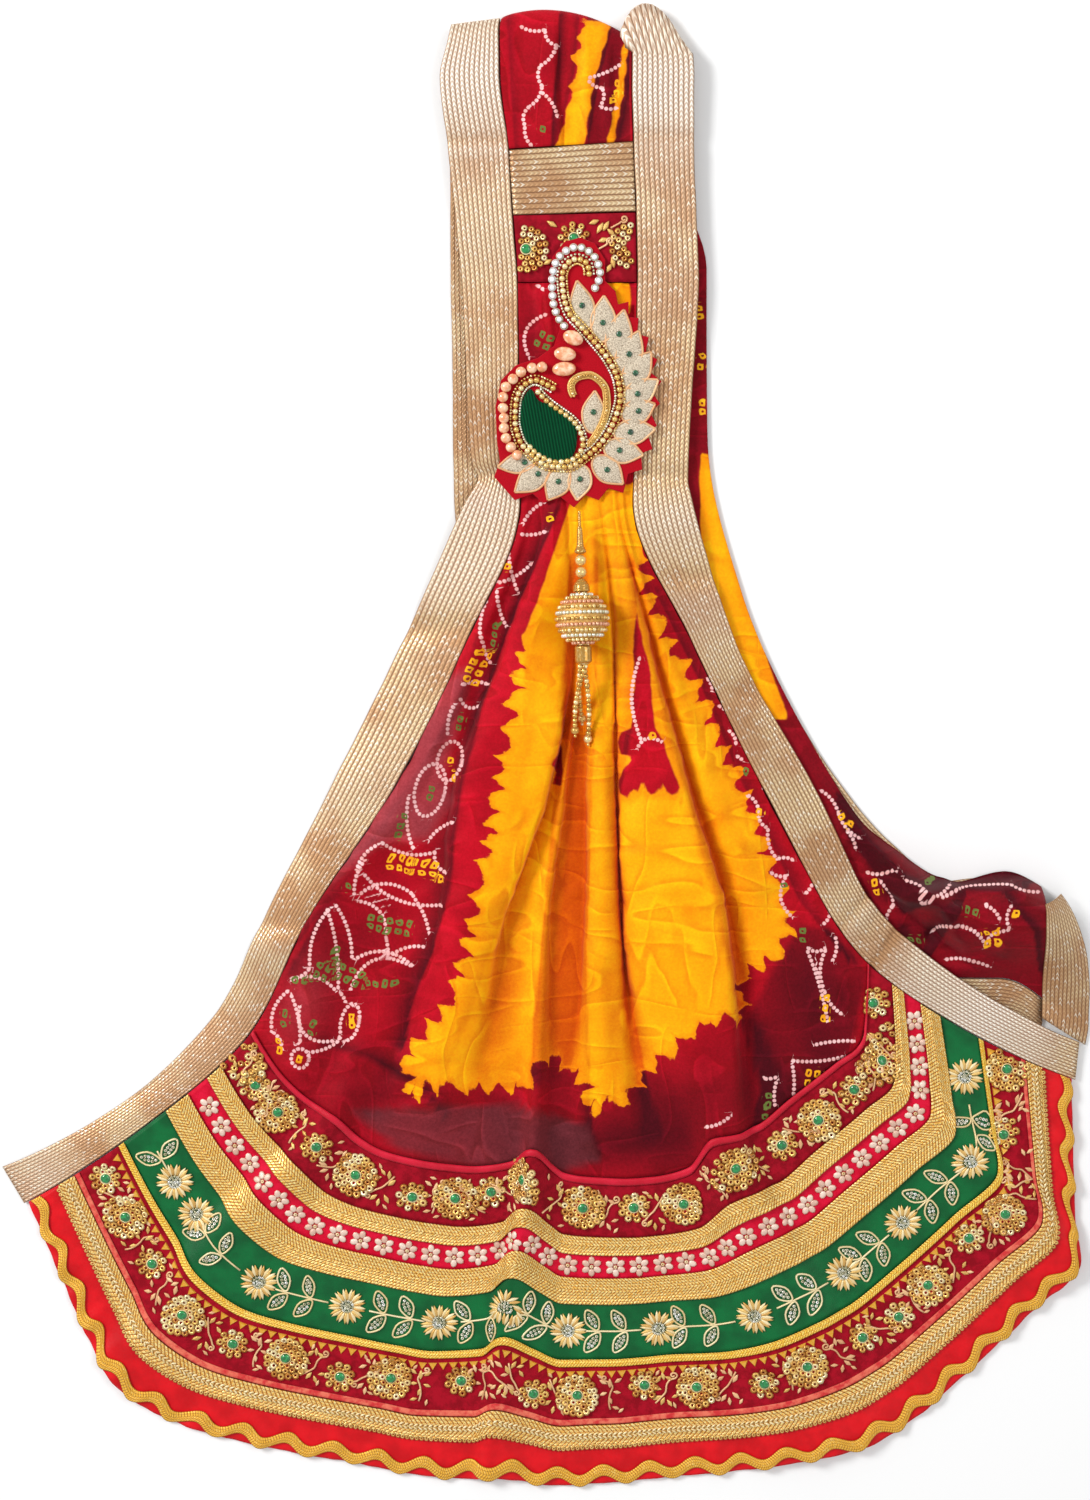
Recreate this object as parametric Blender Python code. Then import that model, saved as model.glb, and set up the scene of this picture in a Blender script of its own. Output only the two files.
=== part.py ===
"""Ready-pleated embroidered dupatta, laid out folded double, in metres with +Z up.

The top fold points to +Y and the wide border lies towards -Y. All tables are in millimetres.
"""
import bmesh
import bpy
import numpy as np
from mathutils import Vector

MM = 0.001
# Middle of the laid-out dupatta, which becomes the origin.
MIDDLE = np.array((-0.9, -17.4, 0.0))

# Thickness of the cloths and how far sewn edges stand apart.
CLOTH_THICK = 1.0
RIBBON_THICK = 1.0
BAND_BELOW = 0.8
BAND_ABOVE = 0.8
LACE_ABOVE = 1.2
SEAM_GAP = 0.6
RIBBON_GAP = 0.6

# Places along the cloth, measured from the hem up the front, over the fold and down the back.
HEM, BAND, BORDER, CALF, KNEE, HIP, WAIST, SEAM = 0, 118, 236, 350, 455, 557, 655, 803
YOKE, CROSSBAR, TOP_FOLD, CLOTH_END = 848, 893, 983, 1915
LEVELS = (SEAM, WAIST, HIP, KNEE, CALF, BORDER, BAND, HEM)
LEVEL_Y = (324, 176, 79, -23, -127)

# Rows of the woven pieces along the cloth. The ribbons share them, so that their edges match.
FRONT_ROWS = ((BORDER, CALF, 4), (CALF, HIP, 8), (HIP, WAIST, 6), (WAIST, SEAM, 6))
UPPER_ROWS = (CROSSBAR, 918, 945, 960, 970, 976, 980, TOP_FOLD, 986, 990, 995, 1004, 1020, 1035,
              1050, 1065, 1080, 1100)
BACK_ROWS = ((1130, 1600, 9), (1600, CLOTH_END, 15))

# Both long edges. Columns: place along the cloth, left ribbon's outer and inner edge,
# right ribbon's inner and outer edge, each as x, y, z.
EDGES = (
    (HEM, (-391, -303, 0.5), (-376, -330, 1.2), (380, -238, 3), (382, -210, 4)),
    (BAND, (-304, -256, 0.5), (-288, -272, 6), (296, -198, 8), (311, -174, 7.5)),
    (BORDER, (-231, -184, 0.5), (-208, -199, 10), (229, -151, 9), (247, -125, 8.5)),
    (CALF, (-204, -129, 0.5), (-172, -127, 10), (209, -127, 10), (229, -104, 8.5)),
    (KNEE, (-150, -24, 0.5), (-105, -23, 9), (152, -23, 11), (188, -23, 8.5)),
    (HIP, (-99, 78, 1.2), (-54, 79, 9), (102, 79, 11), (132, 79, 8.5)),
    (WAIST, (-55, 174, 6), (-17, 176, 10), (61, 176, 11), (102, 176, 9)),
    (672, (-46, 191, 6), (-18, 194, 10), (61, 194, 11), (99, 190, 9)),
    (684, (-50, 200, 6), (-18, 205, 10), (61, 205, 11), (99, 201, 9)),
    (SEAM, (-57, 324, 8), (-19, 324, 11), (63, 324, 12), (105, 324, 10)),
    (YOKE, (-61, 369, 8), (-22, 369, 12), (62, 371, 12), (103, 371, 10)),
    (CROSSBAR, (-66, 413, 9), (-25, 413, 12), (60, 418, 12), (101, 416, 11)),
    (945, (-71, 461, 11), (-31, 465, 13), (59, 458, 13), (101, 458, 12)),
    (973, (-65, 486, 11), (-31, 492, 13), (59, 477, 13), (100, 476, 12)),
    (TOP_FOLD, (-63, 495, 7), (-30, 499, 7.5), (59, 485, 7.5), (98, 483, 7.5)),
    (993, (-63, 489, 1.5), (-30, 493, 1.5), (59, 480, 1.5), (98, 478, 1.5)),
    (1020, (-65, 469, 0.5), (-31, 473, 0.5), (60, 460, 0.5), (100, 460, 0.5)),
    (1317, (-63, 176, 0.5), (-23, 176, 0.5), (63, 217, 0.5), (102, 217, 0.5)),
    (1455, (-28, 25, 0.5), (8, 43, 0.5), (104, 92, 0.5), (138, 106, 0.5)),
    (1580, (38, -97, 0.5), (67, -71, 0.5), (164, -13, 0.5), (185, 10, 0.5)),
    (1690, (132, -169, 0.5), (153, -137, 0.5), (223, -86, 0.5), (245, -66, 0.5)),
    (1785, (229, -202, 0.5), (239, -169, 1), (281, -121, 0.5), (284, -94, 0.5)),
    (1835, (283, -196, 0.5), (285, -164, 2), (303, -119, 0.5), (305, -92, 0.5)),
    (1875, (326, -196, 0.5), (324, -164, 3), (326, -119, 0.5), (325, -92, 0.5)),
    (CLOTH_END, (355, -210, 0.5), (356, -180, 3), (352, -123, 0.5), (351, -98, 0.5)),
)

# Fold lines of the front between the two edges, left to right. Columns: name; x at seam, waist,
# hip, knee and calf; height there; then x, y, z on the border seam, in mid-border and on the hem.
FOLDS = (
    ("left crumple", (-14, -13, -46, -93, -156), (10, 11.2, 12, 12, 12),
     (-187, -233, 8), (-267, -314, 4), (-353, -390, 1.2)),
    ("left trough", (-12, -10, -39, -81, -130), (10, 10, 7, 7, 6),
     (-167, -253, 4), (-251, -340, 3), (-334, -438, 1)),
    ("left corner", (-9, -8, -34, -72, -103), (10, 9.4, 6.5, 6, 6),
     (-151, -261, 12), (-240, -360, 8), (-317, -469, 4)),
    ("first pleat's foot", (-6, -1, -28, -65, -80), (11, 9.4, 7, 7, 10),
     (-134, -279, 4), (-205, -391, 3), (-280, -496, 1)),
    ("first pleat's edge", (-3, 3, -24, -60, -73), (11, 11.2, 17, 23, 19),
     (-116, -289, 6), (-174, -401, 2.5), (-234, -512, 1)),
    ("first pleat's crown", (-1, 7, -10, -37, -54), (12, 12.4, 21, 28, 26),
     (-93, -295, 7), (-134, -410, 2.5), (-175, -525, 1)),
    ("first pleat's lip", (2, 11, 17, 1, -34), (12, 12.4, 13, 24, 20),
     (-71, -299, 5), (-102, -417, 2), (-134, -532, 0.8)),
    ("first valley", (5, 15, 20, 5, -29), (11, 10.6, 8.5, 8, 7.5),
     (-50, -301, 4), (-76, -421, 1.5), (-103, -539, 0.8)),
    ("ridge foot", (8, 18, 22.5, 9, -12), (11, 10.6, 9, 11, 11),
     (-23, -297, 4), (-43, -418, 2), (-58, -544, 0.8)),
    ("second pleat's crown", (11, 21, 25, 13, 0), (11, 11.8, 10, 15, 15),
     (-9, -284, 19), (-27, -405, 11), (-43, -542, 6)),
    ("second valley, left", (14, 24, 27, 17, 5), (10, 10.6, 8, 7.5, 7.5),
     (4, -298, 8), (-7, -417, 5), (-17, -545, 2.5)),
    ("second valley, right", (17, 27, 29, 28, 26), (10, 10.6, 8, 7.5, 7.5),
     (14, -306, 4), (12, -427, 1.5), (11, -549, 0.8)),
    ("third pleat's edge", (20, 30, 32, 32, 30), (12, 12.4, 12.5, 21, 19),
     (27, -308, 6), (31, -427, 2), (35, -547, 0.8)),
    ("third pleat's crown", (24, 33, 38, 40, 40), (12, 12.6, 14, 25, 22),
     (42, -309, 6), (49, -427, 2), (56, -546, 0.8)),
    ("third pleat's lip", (28, 36, 45, 47, 51), (12, 12.4, 17, 21, 18),
     (59, -310, 5), (69, -426, 1.5), (79, -543, 0.8)),
    ("third valley", (31, 39, 48, 50, 54.5), (11, 11.2, 12, 13, 8),
     (77, -309, 4), (89, -424, 1.5), (102, -541, 0.8)),
    ("fourth pleat's edge", (35, 42, 51.5, 54, 59), (11, 12.4, 20, 23, 22),
     (104, -301, 6), (123, -422, 2), (143, -537, 1)),
    ("fourth pleat's crown", (38, 45, 60, 70, 89), (12, 12.6, 24, 28, 30),
     (120, -275, 22), (161, -409, 11), (195, -527, 6)),
    ("fourth pleat's lip", (42, 48, 70, 97, 127), (12, 12.6, 21, 26, 27),
     (137, -273, 19), (189, -396, 10), (235, -518, 5)),
    ("fourth valley", (45, 51, 74, 102, 132), (10, 11.2, 10, 10, 10),
     (151, -270, 7), (209, -387, 4), (266, -501, 1.5)),
    ("fifth pleat's crown", (49, 53.5, 80, 114, 153), (11, 12.4, 15, 17, 17),
     (175, -250, 8), (242, -360, 3), (307, -464, 1)),
    ("right slope", (52, 55.5, 87, 128, 173), (11, 10.6, 11, 12, 12),
     (206, -225, 8), (280, -323, 6), (357, -413, 2.5)),
    ("right corner", (55.5, 57.5, 92, 138, 186), (10, 10.3, 9, 9, 9),
     (222, -211, 13), (310, -289, 12), (389, -377, 8)),
    ("right tuck", (59, 59.3, 96, 145, 195), (10, 10.3, 8.5, 8.5, 8.5),
     (227, -199, 8), (307, -264, 5), (386, -350, 3)),
)

# The border's bands from its seam (0) to the hem (1). Columns: node, start, end, rows, height
# above the middle of the cloth, material.
BANDS = (
    ("seam_piping", 0.0, 0.022, 1, 1.6, "piping"),
    ("inner_embroidered_band", 0.022, 0.175, 2, BAND_ABOVE, "maroon"),
    ("gold_lace_inner", 0.175, 0.238, 1, LACE_ABOVE, "gold"),
    ("flower_lace", 0.238, 0.315, 1, BAND_ABOVE, "pink"),
    ("gold_lace_middle", 0.315, 0.408, 1, LACE_ABOVE, "gold"),
    ("sunflower_band", 0.408, 0.585, 2, BAND_ABOVE, "green"),
    ("zigzag_lace", 0.585, 0.62, 1, LACE_ABOVE, "yellow"),
    ("outer_embroidered_band", 0.62, 0.775, 2, BAND_ABOVE, "maroon"),
    ("edging_tape", 0.775, 0.795, 1, BAND_ABOVE, "pink"),
    ("gold_lace_outer", 0.795, 0.868, 1, LACE_ABOVE, "gold"),
    ("satin_flounce", 0.868, 0.985, 2, BAND_ABOVE, "satin"),
)

# Rick-rack braid along the hem.
BRAID_MIDDLE = 0.955
BRAID_WIDTH = 7.0
BRAID_SWING = 3.6
BRAID_THICK = 1.5
BRAID_WAVES = 31
BRAID_STEPS = 6
BRAID_GAP = 0.7

# Pleats of the upper panel above the crossbar. Columns: share of the width, height.
UPPER_PLEATS = (
    (0.0, 0.0), (0.2, 0.8), (0.41, 2.0), (0.45, -1.6), (0.6, -0.4), (0.66, 1.8),
    (0.72, 0.4), (0.82, 1.2), (0.87, -1.2), (1.0, 0.0),
)

# The back leg's right side laps out over its ribbon, and its end is bunched into a heap. Columns:
# place along the cloth, how much of the heap is there, its height, and how far it bulges past
# the right edge in x and y.
HEAP = (
    (1020, 0.0, 5.2, 0, 0),
    (1110, 1.0, 5.2, 30, 0),
    (1180, 1.0, 5.2, 50, 0),
    (1317, 1.0, 5.2, 50, 3),
    (1455, 1.0, 5.2, 34, 19),
    (1580, 1.0, 5.6, 22, 22),
    (1660, 1.0, 12, 14, 24),
    (1740, 1.0, 31, 2, 34),
    (1785, 1.0, 33, -1, 31),
    (1820, 1.0, 26, -2, 26),
    (1875, 1.0, 34, 0, 33),
    (CLOTH_END, 1.0, 27, 0, 26),
)
# Under the front and just beyond its ribbon the back leg stays low, then it rises steeply.
LOW_UNDER_FRONT = 5.7
SHADOW_STRIP = 13
RISE_BEYOND_FRONT = 1.3

# The upper panel puffs up past the line between the ribbons' turns, and the right ribbon's
# turn stands higher than the cloth's: steps in x and y of its inner edge, middle and outer edge.
PANEL_PUFF = 12
RIBBON_PUFF = ((0, 4), (0, 24), (-5, 2))

# Section of the heap. Columns: share of the way round, share across, share of the bulge, share of
# the height, and the least height, which keeps it clear of the ribbon under it.
ROLL = (
    (0.0, 0.0, 0.0, 0.0, 0.0), (0.14, 0.2, 0.0, 0.16, 0.0), (0.28, 0.46, 0.0, 0.42, 0.0),
    (0.42, 0.7, 0.05, 0.78, 0.0), (0.56, 0.9, 0.22, 1.0, 0.0), (0.68, 1.0, 0.45, 1.0, 4.0),
    (0.78, 1.0, 0.66, 0.8, 3.9), (0.85, 1.0, 0.81, 0.55, 3.5), (0.92, 1.0, 0.92, 0.28, 3.0),
    (1.0, 1.0, 1.0, 0.0, 2.3),
)

# End ribbon. Columns: share round the roll, outer edge x, y, z.
END_RIBBON = (
    (-0.12, (387, -213, 0.5)), (0.0, (389, -198, 0.5)), (0.2, (389, -178, 2)), (0.4, (386, -152, 4)),
    (0.55, (380, -130, 6)), (0.7, (371, -111, 7)), (0.8, (363, -100, 7)),
)

# How far the end ribbon's inner edge runs on past the cloth.
END_RIBBON_TAIL = 14

# Patch outline on its plain side, then the feather tips round the other side.
PATCH_LEVEL = 13.4
PATCH_THICK = 1.6
PATCH_PLAIN_SIDE = (
    (-35, 192), (-31, 203), (-33, 216), (-34, 240), (-30, 258), (-20, 268), (-5, 273), (6, 281),
    (10, 292), (6, 308), (3, 324), (5, 341), (13, 351), (24, 354), (34, 350), (41, 339),
    (41, 325),
)
FEATHER_TIPS = (
    (48, 318), (57, 311), (64, 300), (71, 287), (77, 272), (80, 257), (79, 242), (77, 227),
    (74, 211), (67, 197), (54, 181), (37, 176), (20, 171), (-1, 174), (-21, 176),
)
FEATHER_NOTCH = 6.0
PAISLEY = (
    (-10, 252), (-16, 243), (-18, 230), (-12, 215), (0, 204), (12, 201), (20, 208), (22, 222),
    (17, 235), (6, 241), (-4, 244),
)
PAISLEY_THICK = 2.2

# Tassel. Its cap hangs from the patch and its parts follow one line. Columns: name, start,
# profile as distance along the line and radius.
TASSEL_TOP = (23.5, 169.0)
TASSEL_FOOT = (25.5, 100.0)
TASSEL_LEVEL = 33.0
TASSEL_PARTS = (
    ("tassel_cap", ((0, 0.9), (10, 0.9), (12, 1.6), (24, 2.6), (28, 4.2), (29.5, 2.0))),
    ("tassel_bead_upper", ((29.9, 1.2), (31.2, 3.2), (33.8, 4.0), (36.4, 3.2), (37.7, 1.2))),
    ("tassel_bead_lower", ((38.1, 1.2), (39.4, 3.2), (42.0, 4.0), (44.6, 3.2), (45.9, 1.2))),
    ("tassel_bell", ((46.3, 1.6), (48, 3.4), (52, 5.6), (55.2, 5.8), (55.6, 3.0))),
)
BALL_RADIUS = 18.6
BALL_START = 55.4
TUBE_RADIUS = 5.8
TUBE_LENGTH = 12.5
STRAND_FEET = ((21, 14, 20), (30, 8, 20), (26, 22, 17))
STRAND_RADIUS = 1.7

COLOURS = {
    "cloth": ((0.42, 0.02, 0.04), 0.7, 0.0),
    "back": ((0.25, 0.01, 0.03), 0.7, 0.0),
    "maroon": ((0.2, 0.005, 0.02), 0.7, 0.0),
    "piping": ((0.5, 0.01, 0.03), 0.5, 0.0),
    "gold": ((0.6, 0.38, 0.12), 0.4, 0.8),
    "pink": ((0.6, 0.05, 0.12), 0.6, 0.0),
    "green": ((0.0, 0.1, 0.03), 0.6, 0.0),
    "yellow": ((0.8, 0.5, 0.05), 0.5, 0.2),
    "satin": ((0.6, 0.0, 0.02), 0.3, 0.0),
    "ribbon": ((0.65, 0.5, 0.33), 0.35, 0.7),
    "felt": ((0.45, 0.01, 0.03), 0.9, 0.0),
    "velvet": ((0.0, 0.1, 0.04), 0.9, 0.0),
}


def end_slope(step, next_step, rise, next_rise):
    slope = ((2 * step + next_step) * rise - step * next_rise) / (step + next_step)
    slope = np.where(np.sign(slope) != np.sign(rise), 0.0, slope)
    steep = (np.sign(rise) != np.sign(next_rise)) & (abs(slope) > 3 * abs(rise))
    return np.where(steep, 3 * rise, slope)


def smooth_curve(knots, values, where):
    """Reads a smooth curve without overshoot through values at rising knots."""
    knots = np.asarray(knots, float)
    values = np.asarray(values, float)
    where = np.atleast_1d(np.asarray(where, float))
    steps = np.diff(knots)[:, None]
    rises = np.diff(values, axis=0) / steps
    slopes = np.zeros_like(values)
    before, after = rises[:-1], rises[1:]
    weight_a = 2 * steps[1:] + steps[:-1]
    weight_b = steps[1:] + 2 * steps[:-1]
    same_way = before * after > 0
    divisor = weight_a / np.where(same_way, before, 1) + weight_b / np.where(same_way, after, 1)
    slopes[1:-1] = np.where(same_way, (weight_a + weight_b) / divisor, 0)
    slopes[0] = end_slope(steps[0], steps[1], rises[0], rises[1])
    slopes[-1] = end_slope(steps[-1], steps[-2], rises[-1], rises[-2])
    index = np.clip(np.searchsorted(knots, where, side="right") - 1, 0, len(knots) - 2)
    width = steps[index]
    t = ((where - knots[index])[:, None]) / width
    low = values[index] * (2 * t**3 - 3 * t**2 + 1) + slopes[index] * width * (t**3 - 2 * t**2 + t)
    high = values[index + 1] * (3 * t**2 - 2 * t**3) + slopes[index + 1] * width * (t**3 - t**2)
    return low + high


def edge(column, where):
    return smooth_curve([row[0] for row in EDGES], [row[column] for row in EDGES], where)


def cloth_edge(side, where):
    """The cloth's own edge, just inside the ribbon on that side."""
    inner = edge(2 if side == "left" else 3, where)
    outer = edge(1 if side == "left" else 4, where)
    inward = (inner - outer) * (1, 1, 0)
    inward /= np.linalg.norm(inward, axis=1)[:, None]
    return inner + inward * RIBBON_GAP


def fold_line(row, where):
    name, across, heights, *border = row
    points = [(x, y, z) for x, y, z in zip(across, LEVEL_Y, heights)] + list(border)
    return smooth_curve(LEVELS[::-1], points[::-1], where)


def front_columns():
    """Shares across the fold lines, with more columns where the border is wide."""
    middles = np.array([cloth_edge("left", BAND)[0]] + [row[4] for row in FOLDS]
                       + [cloth_edge("right", BAND)[0]])
    widths = np.linalg.norm(np.diff(middles, axis=0), axis=1)
    columns = [0.0]
    for span, width in enumerate(widths):
        parts = 1 + int(width > 29) + int(width > 60)
        columns.extend(span + (part + 1) / parts for part in range(parts))
    return np.array(columns)


def front_points(columns, places):
    """Points of the front, one row of columns for each place along the cloth."""
    lines = [cloth_edge("left", places)] + [fold_line(row, places) for row in FOLDS]
    lines.append(cloth_edge("right", places))
    lines = np.stack(lines, axis=1)
    knots = np.arange(lines.shape[1])
    return np.stack([smooth_curve(knots, line, columns) for line in lines])


def front_sheet(columns, places):
    """Points of the front and the directions that its faces look in."""
    points = front_points(columns, places)
    across = front_points(np.clip(columns + 0.12, 0, None).clip(0, len(FOLDS) + 1), places)
    across -= front_points((columns - 0.12).clip(0, None), places)
    along = front_points(columns, np.clip(places + 3, HEM, SEAM))
    along -= front_points(columns, np.clip(places - 3, HEM, SEAM))
    return points, unit(np.cross(across, along))


def unit(vectors):
    return vectors / np.linalg.norm(vectors, axis=-1, keepdims=True)


def grid_normals(points):
    return unit(np.cross(np.gradient(points, axis=1), np.gradient(points, axis=0)))


def material(kind):
    known = bpy.data.materials.get(kind)
    if known:
        return known
    colour, roughness, metallic = COLOURS[kind]
    made = bpy.data.materials.new(kind)
    made.use_nodes = True
    shader = made.node_tree.nodes["Principled BSDF"]
    shader.inputs["Base Color"].default_value = (*colour, 1)
    shader.inputs["Roughness"].default_value = roughness
    shader.inputs["Metallic"].default_value = metallic
    return made


def add_object(name, vertices, faces, kind):
    """Adds a solid from millimetre points, kept above the floor."""
    vertices = np.array(vertices, float) - MIDDLE
    vertices[:, 2] = np.maximum(vertices[:, 2], 0)
    mesh = bpy.data.meshes.new(name)
    mesh.from_pydata((vertices * MM).tolist(), [], faces)
    mesh.update()
    piece = bpy.data.objects.new(name, mesh)
    bpy.context.collection.objects.link(piece)
    mesh.materials.append(material(kind))
    return piece


def add_sheet(name, points, normals, below, above, kind):
    """A closed sheet with two faces either side of a grid of points."""
    rows, columns = points.shape[:2]
    top = (points + normals * above).reshape(-1, 3)
    bottom = (points - normals * below).reshape(-1, 3)
    under = rows * columns

    def at(row, column):
        return row * columns + column

    faces = []
    for row in range(rows - 1):
        for column in range(columns - 1):
            near, far = at(row, column), at(row + 1, column + 1)
            for corner in ((near, at(row, column + 1), far), (near, far, at(row + 1, column))):
                faces.append(corner)
                faces.append(tuple(under + index for index in reversed(corner)))
    rim = [at(0, column) for column in range(columns)]
    rim += [at(row, columns - 1) for row in range(1, rows)]
    rim += [at(rows - 1, column) for column in reversed(range(columns - 1))]
    rim += [at(row, 0) for row in reversed(range(1, rows - 1))]
    for first, second in zip(rim, rim[1:] + rim[:1]):
        faces.append((second, first, under + first, under + second))
    return add_object(name, np.vstack((top, bottom)), faces, kind)


def rows_of(stretches, last):
    """Evenly spaced rows in each stretch of the cloth, and its last row."""
    rows = [np.linspace(start, end, count, endpoint=False) for start, end, count in stretches]
    return np.concatenate(rows + [[last]])


def add_front_cloth(columns):
    places = rows_of(FRONT_ROWS, SEAM - SEAM_GAP)
    places[0] += SEAM_GAP / 2
    points, normals = front_sheet(columns, places)
    add_sheet("front_cloth", points, normals, CLOTH_THICK / 2, CLOTH_THICK / 2, "cloth")


def add_border(columns):
    """The border's bands, edge to edge, from the seam to the hem."""
    length = BORDER - HEM
    for name, start, end, rows, above, kind in BANDS:
        lower = BORDER - end * length + SEAM_GAP / 2
        upper = BORDER - start * length - SEAM_GAP / 2
        points, normals = front_sheet(columns, np.linspace(lower, upper, rows + 1))
        add_sheet(name, points, normals, BAND_BELOW, above, kind)


def add_braid(columns):
    """Rick-rack braid swinging along the hem, sewn on top of the flounce's facets."""
    name, start, end, rows, above, kind = BANDS[-1]
    length = BORDER - HEM
    places = np.linspace(BORDER - end * length, BORDER - start * length, rows + 1)
    points, normals = front_sheet(columns, places)
    surface = points + normals * above
    middle_place = BORDER - BRAID_MIDDLE * length
    spans = np.linalg.norm(np.diff(surface[0], axis=0), axis=1)
    travel = np.concatenate(([0], np.cumsum(spans)))
    count = BRAID_WAVES * BRAID_STEPS + 1
    wanted = np.linspace(5, travel[-1] - 5, count)
    column = np.interp(wanted, travel, np.arange(len(columns)))
    swing = BRAID_SWING * np.sin(np.arange(count) * 2 * np.pi / BRAID_STEPS)

    def on_surface(offsets):
        row = (middle_place + offsets - places[0]) / (places[1] - places[0])
        low_row = np.clip(np.floor(row), 0, rows - 1).astype(int)
        low_column = np.clip(np.floor(column), 0, len(columns) - 2).astype(int)
        up, right = (row - low_row)[:, None], (column - low_column)[:, None]
        corners = [[field[low_row + a, low_column + b] for b in (0, 1)] for a in (0, 1)
                   for field in (surface, normals)]
        spots = [(c[0] * (1 - right) + c[1] * right) for c in corners]
        return spots[0] * (1 - up) + spots[2] * up, unit(spots[1] * (1 - up) + spots[3] * up)

    lower, lower_up = on_surface(swing - BRAID_WIDTH / 2)
    upper, upper_up = on_surface(swing + BRAID_WIDTH / 2)
    lift = BRAID_GAP + BRAID_THICK / 2
    grid = np.stack((lower + lower_up * lift, upper + upper_up * lift))
    add_sheet("rickrack_braid", grid, np.stack((lower_up, upper_up)), BRAID_THICK / 2, BRAID_THICK / 2,
              "yellow")


def add_yoke():
    """The embroidered yoke and the ribbon across its top, between the side ribbons."""
    share = np.linspace(0, 1, 7)[None, :, None]
    for name, start, end, above, kind in (
        ("yoke_band", SEAM, YOKE, 0.6, "maroon"),
        ("crossbar_ribbon", YOKE, CROSSBAR, 0.8, "ribbon"),
    ):
        places = np.linspace(start + SEAM_GAP / 2, end - SEAM_GAP / 2, 3)
        left, right = cloth_edge("left", places)[:, None], cloth_edge("right", places)[:, None]
        points = left * (1 - share) + right * share
        add_sheet(name, points, grid_normals(points), 0.6, above, kind)


def beyond_front(points):
    """How far each point lies outside the front's right ribbon, in plan, or less than 0 inside."""
    line = edge(4, np.linspace(HIP, HEM, 40))[:, :2]
    starts, steps = line[:-1], np.diff(line, axis=0)
    offset = points[..., None, :2] - starts
    share = ((offset * steps).sum(-1) / (steps**2).sum(-1)).clip(0, 1)
    away = offset - share[..., None] * steps
    distance = np.linalg.norm(away, axis=-1)
    nearest = distance.argmin(axis=-1)
    side = steps[..., 0] * offset[..., 1] - steps[..., 1] * offset[..., 0]
    pick = nearest[..., None]
    side = np.take_along_axis(side, pick, -1)[..., 0]
    return np.take_along_axis(distance, pick, -1)[..., 0] * np.sign(side)


def add_back_cloth():
    """The upper panel, the turn over the top fold and the back leg with its heap."""
    places = np.concatenate((UPPER_ROWS, rows_of(BACK_ROWS, CLOTH_END)))
    places[0] += SEAM_GAP / 2
    shares = np.array((0, 0.1, 0.2, 0.3, 0.41, 0.45, 0.53, 0.6, 0.66, 0.72, 0.8, 0.87, 0.93, 1.0))
    left, right = cloth_edge("left", places)[:, None], cloth_edge("right", places)[:, None]
    flat = left + (right - left) * shares[None, :, None]
    knots, heights = zip(*UPPER_PLEATS)
    pleats = np.interp(shares, knots, heights)
    fade = np.interp(places, (CROSSBAR, 905, 960, 978), (0.2, 1, 1, 0))
    flat[:, :, 2] += fade[:, None] * pleats[None, :]
    puff = np.interp(places, (945, TOP_FOLD, 1020), (0, PANEL_PUFF, 0))
    flat[:, :, 1] += puff[:, None] * np.sin(np.pi * shares[None, :]) ** 0.7
    roll_knots = [row[0] for row in HEAP]
    amount, height, bulge_x, bulge_y = smooth_curve(roll_knots, [row[1:] for row in HEAP],
                                                    places.clip(HEAP[0][0], None)).T[:, :, None]
    across, bulge, lift, least = smooth_curve([row[0] for row in ROLL], [row[1:] for row in ROLL],
                                              shares).T[:, None, :]
    rolled = left + (right - left) * across[:, :, None]
    rolled[:, :, 0] += bulge * bulge_x
    rolled[:, :, 1] += bulge * bulge_y
    rolled[:, :, 2] = np.maximum(rolled[:, :, 2] + lift * height, least)
    turned = (amount**2)[:, :, None]
    points = flat * (1 - turned) + rolled * turned
    lifted = (amount * 2).clip(0, 1)
    points[:, :, 2] = flat[:, :, 2] * (1 - lifted) + rolled[:, :, 2] * lifted
    heaped = places > HEAP[0][0]
    beyond = beyond_front(points[heaped])
    ceiling = LOW_UNDER_FRONT + np.maximum(beyond - SHADOW_STRIP, 0) * RISE_BEYOND_FRONT
    points[heaped, :, 2] = np.minimum(points[heaped, :, 2], ceiling)
    add_sheet("back_cloth", points, grid_normals(points), CLOTH_THICK / 2, CLOTH_THICK / 2, "back")
    return points[-1], shares


def add_side_ribbons():
    borders = [BORDER * (1 - row[2]) for row in BANDS[:-1]]
    places = np.concatenate(([HEM], borders[::-1], rows_of(FRONT_ROWS, SEAM), (YOKE,), UPPER_ROWS,
                             rows_of(BACK_ROWS, CLOTH_END)))
    share = np.array((0, 0.45, 1.0))[None, :, None]
    for name, first, second in (("side_ribbon_left", 1, 2), ("side_ribbon_right", 3, 4)):
        left, right = edge(first, places)[:, None], edge(second, places)[:, None]
        points = left * (1 - share) + right * share
        crown = np.interp(places, (HEM, 80, KNEE, HIP, WAIST), (0, 2.0, 2.0, 1.2, 0))
        points[:, 1, 2] += crown
        if name == "side_ribbon_right":
            puff = np.interp(places, (973, TOP_FOLD, 993, 1020), (0, 1, 0.9, 0))
            points[:, :, :2] += puff[:, None, None] * np.array(RIBBON_PUFF)
        add_sheet(name, points, grid_normals(points), RIBBON_THICK / 2, RIBBON_THICK / 2, "ribbon")


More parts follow.
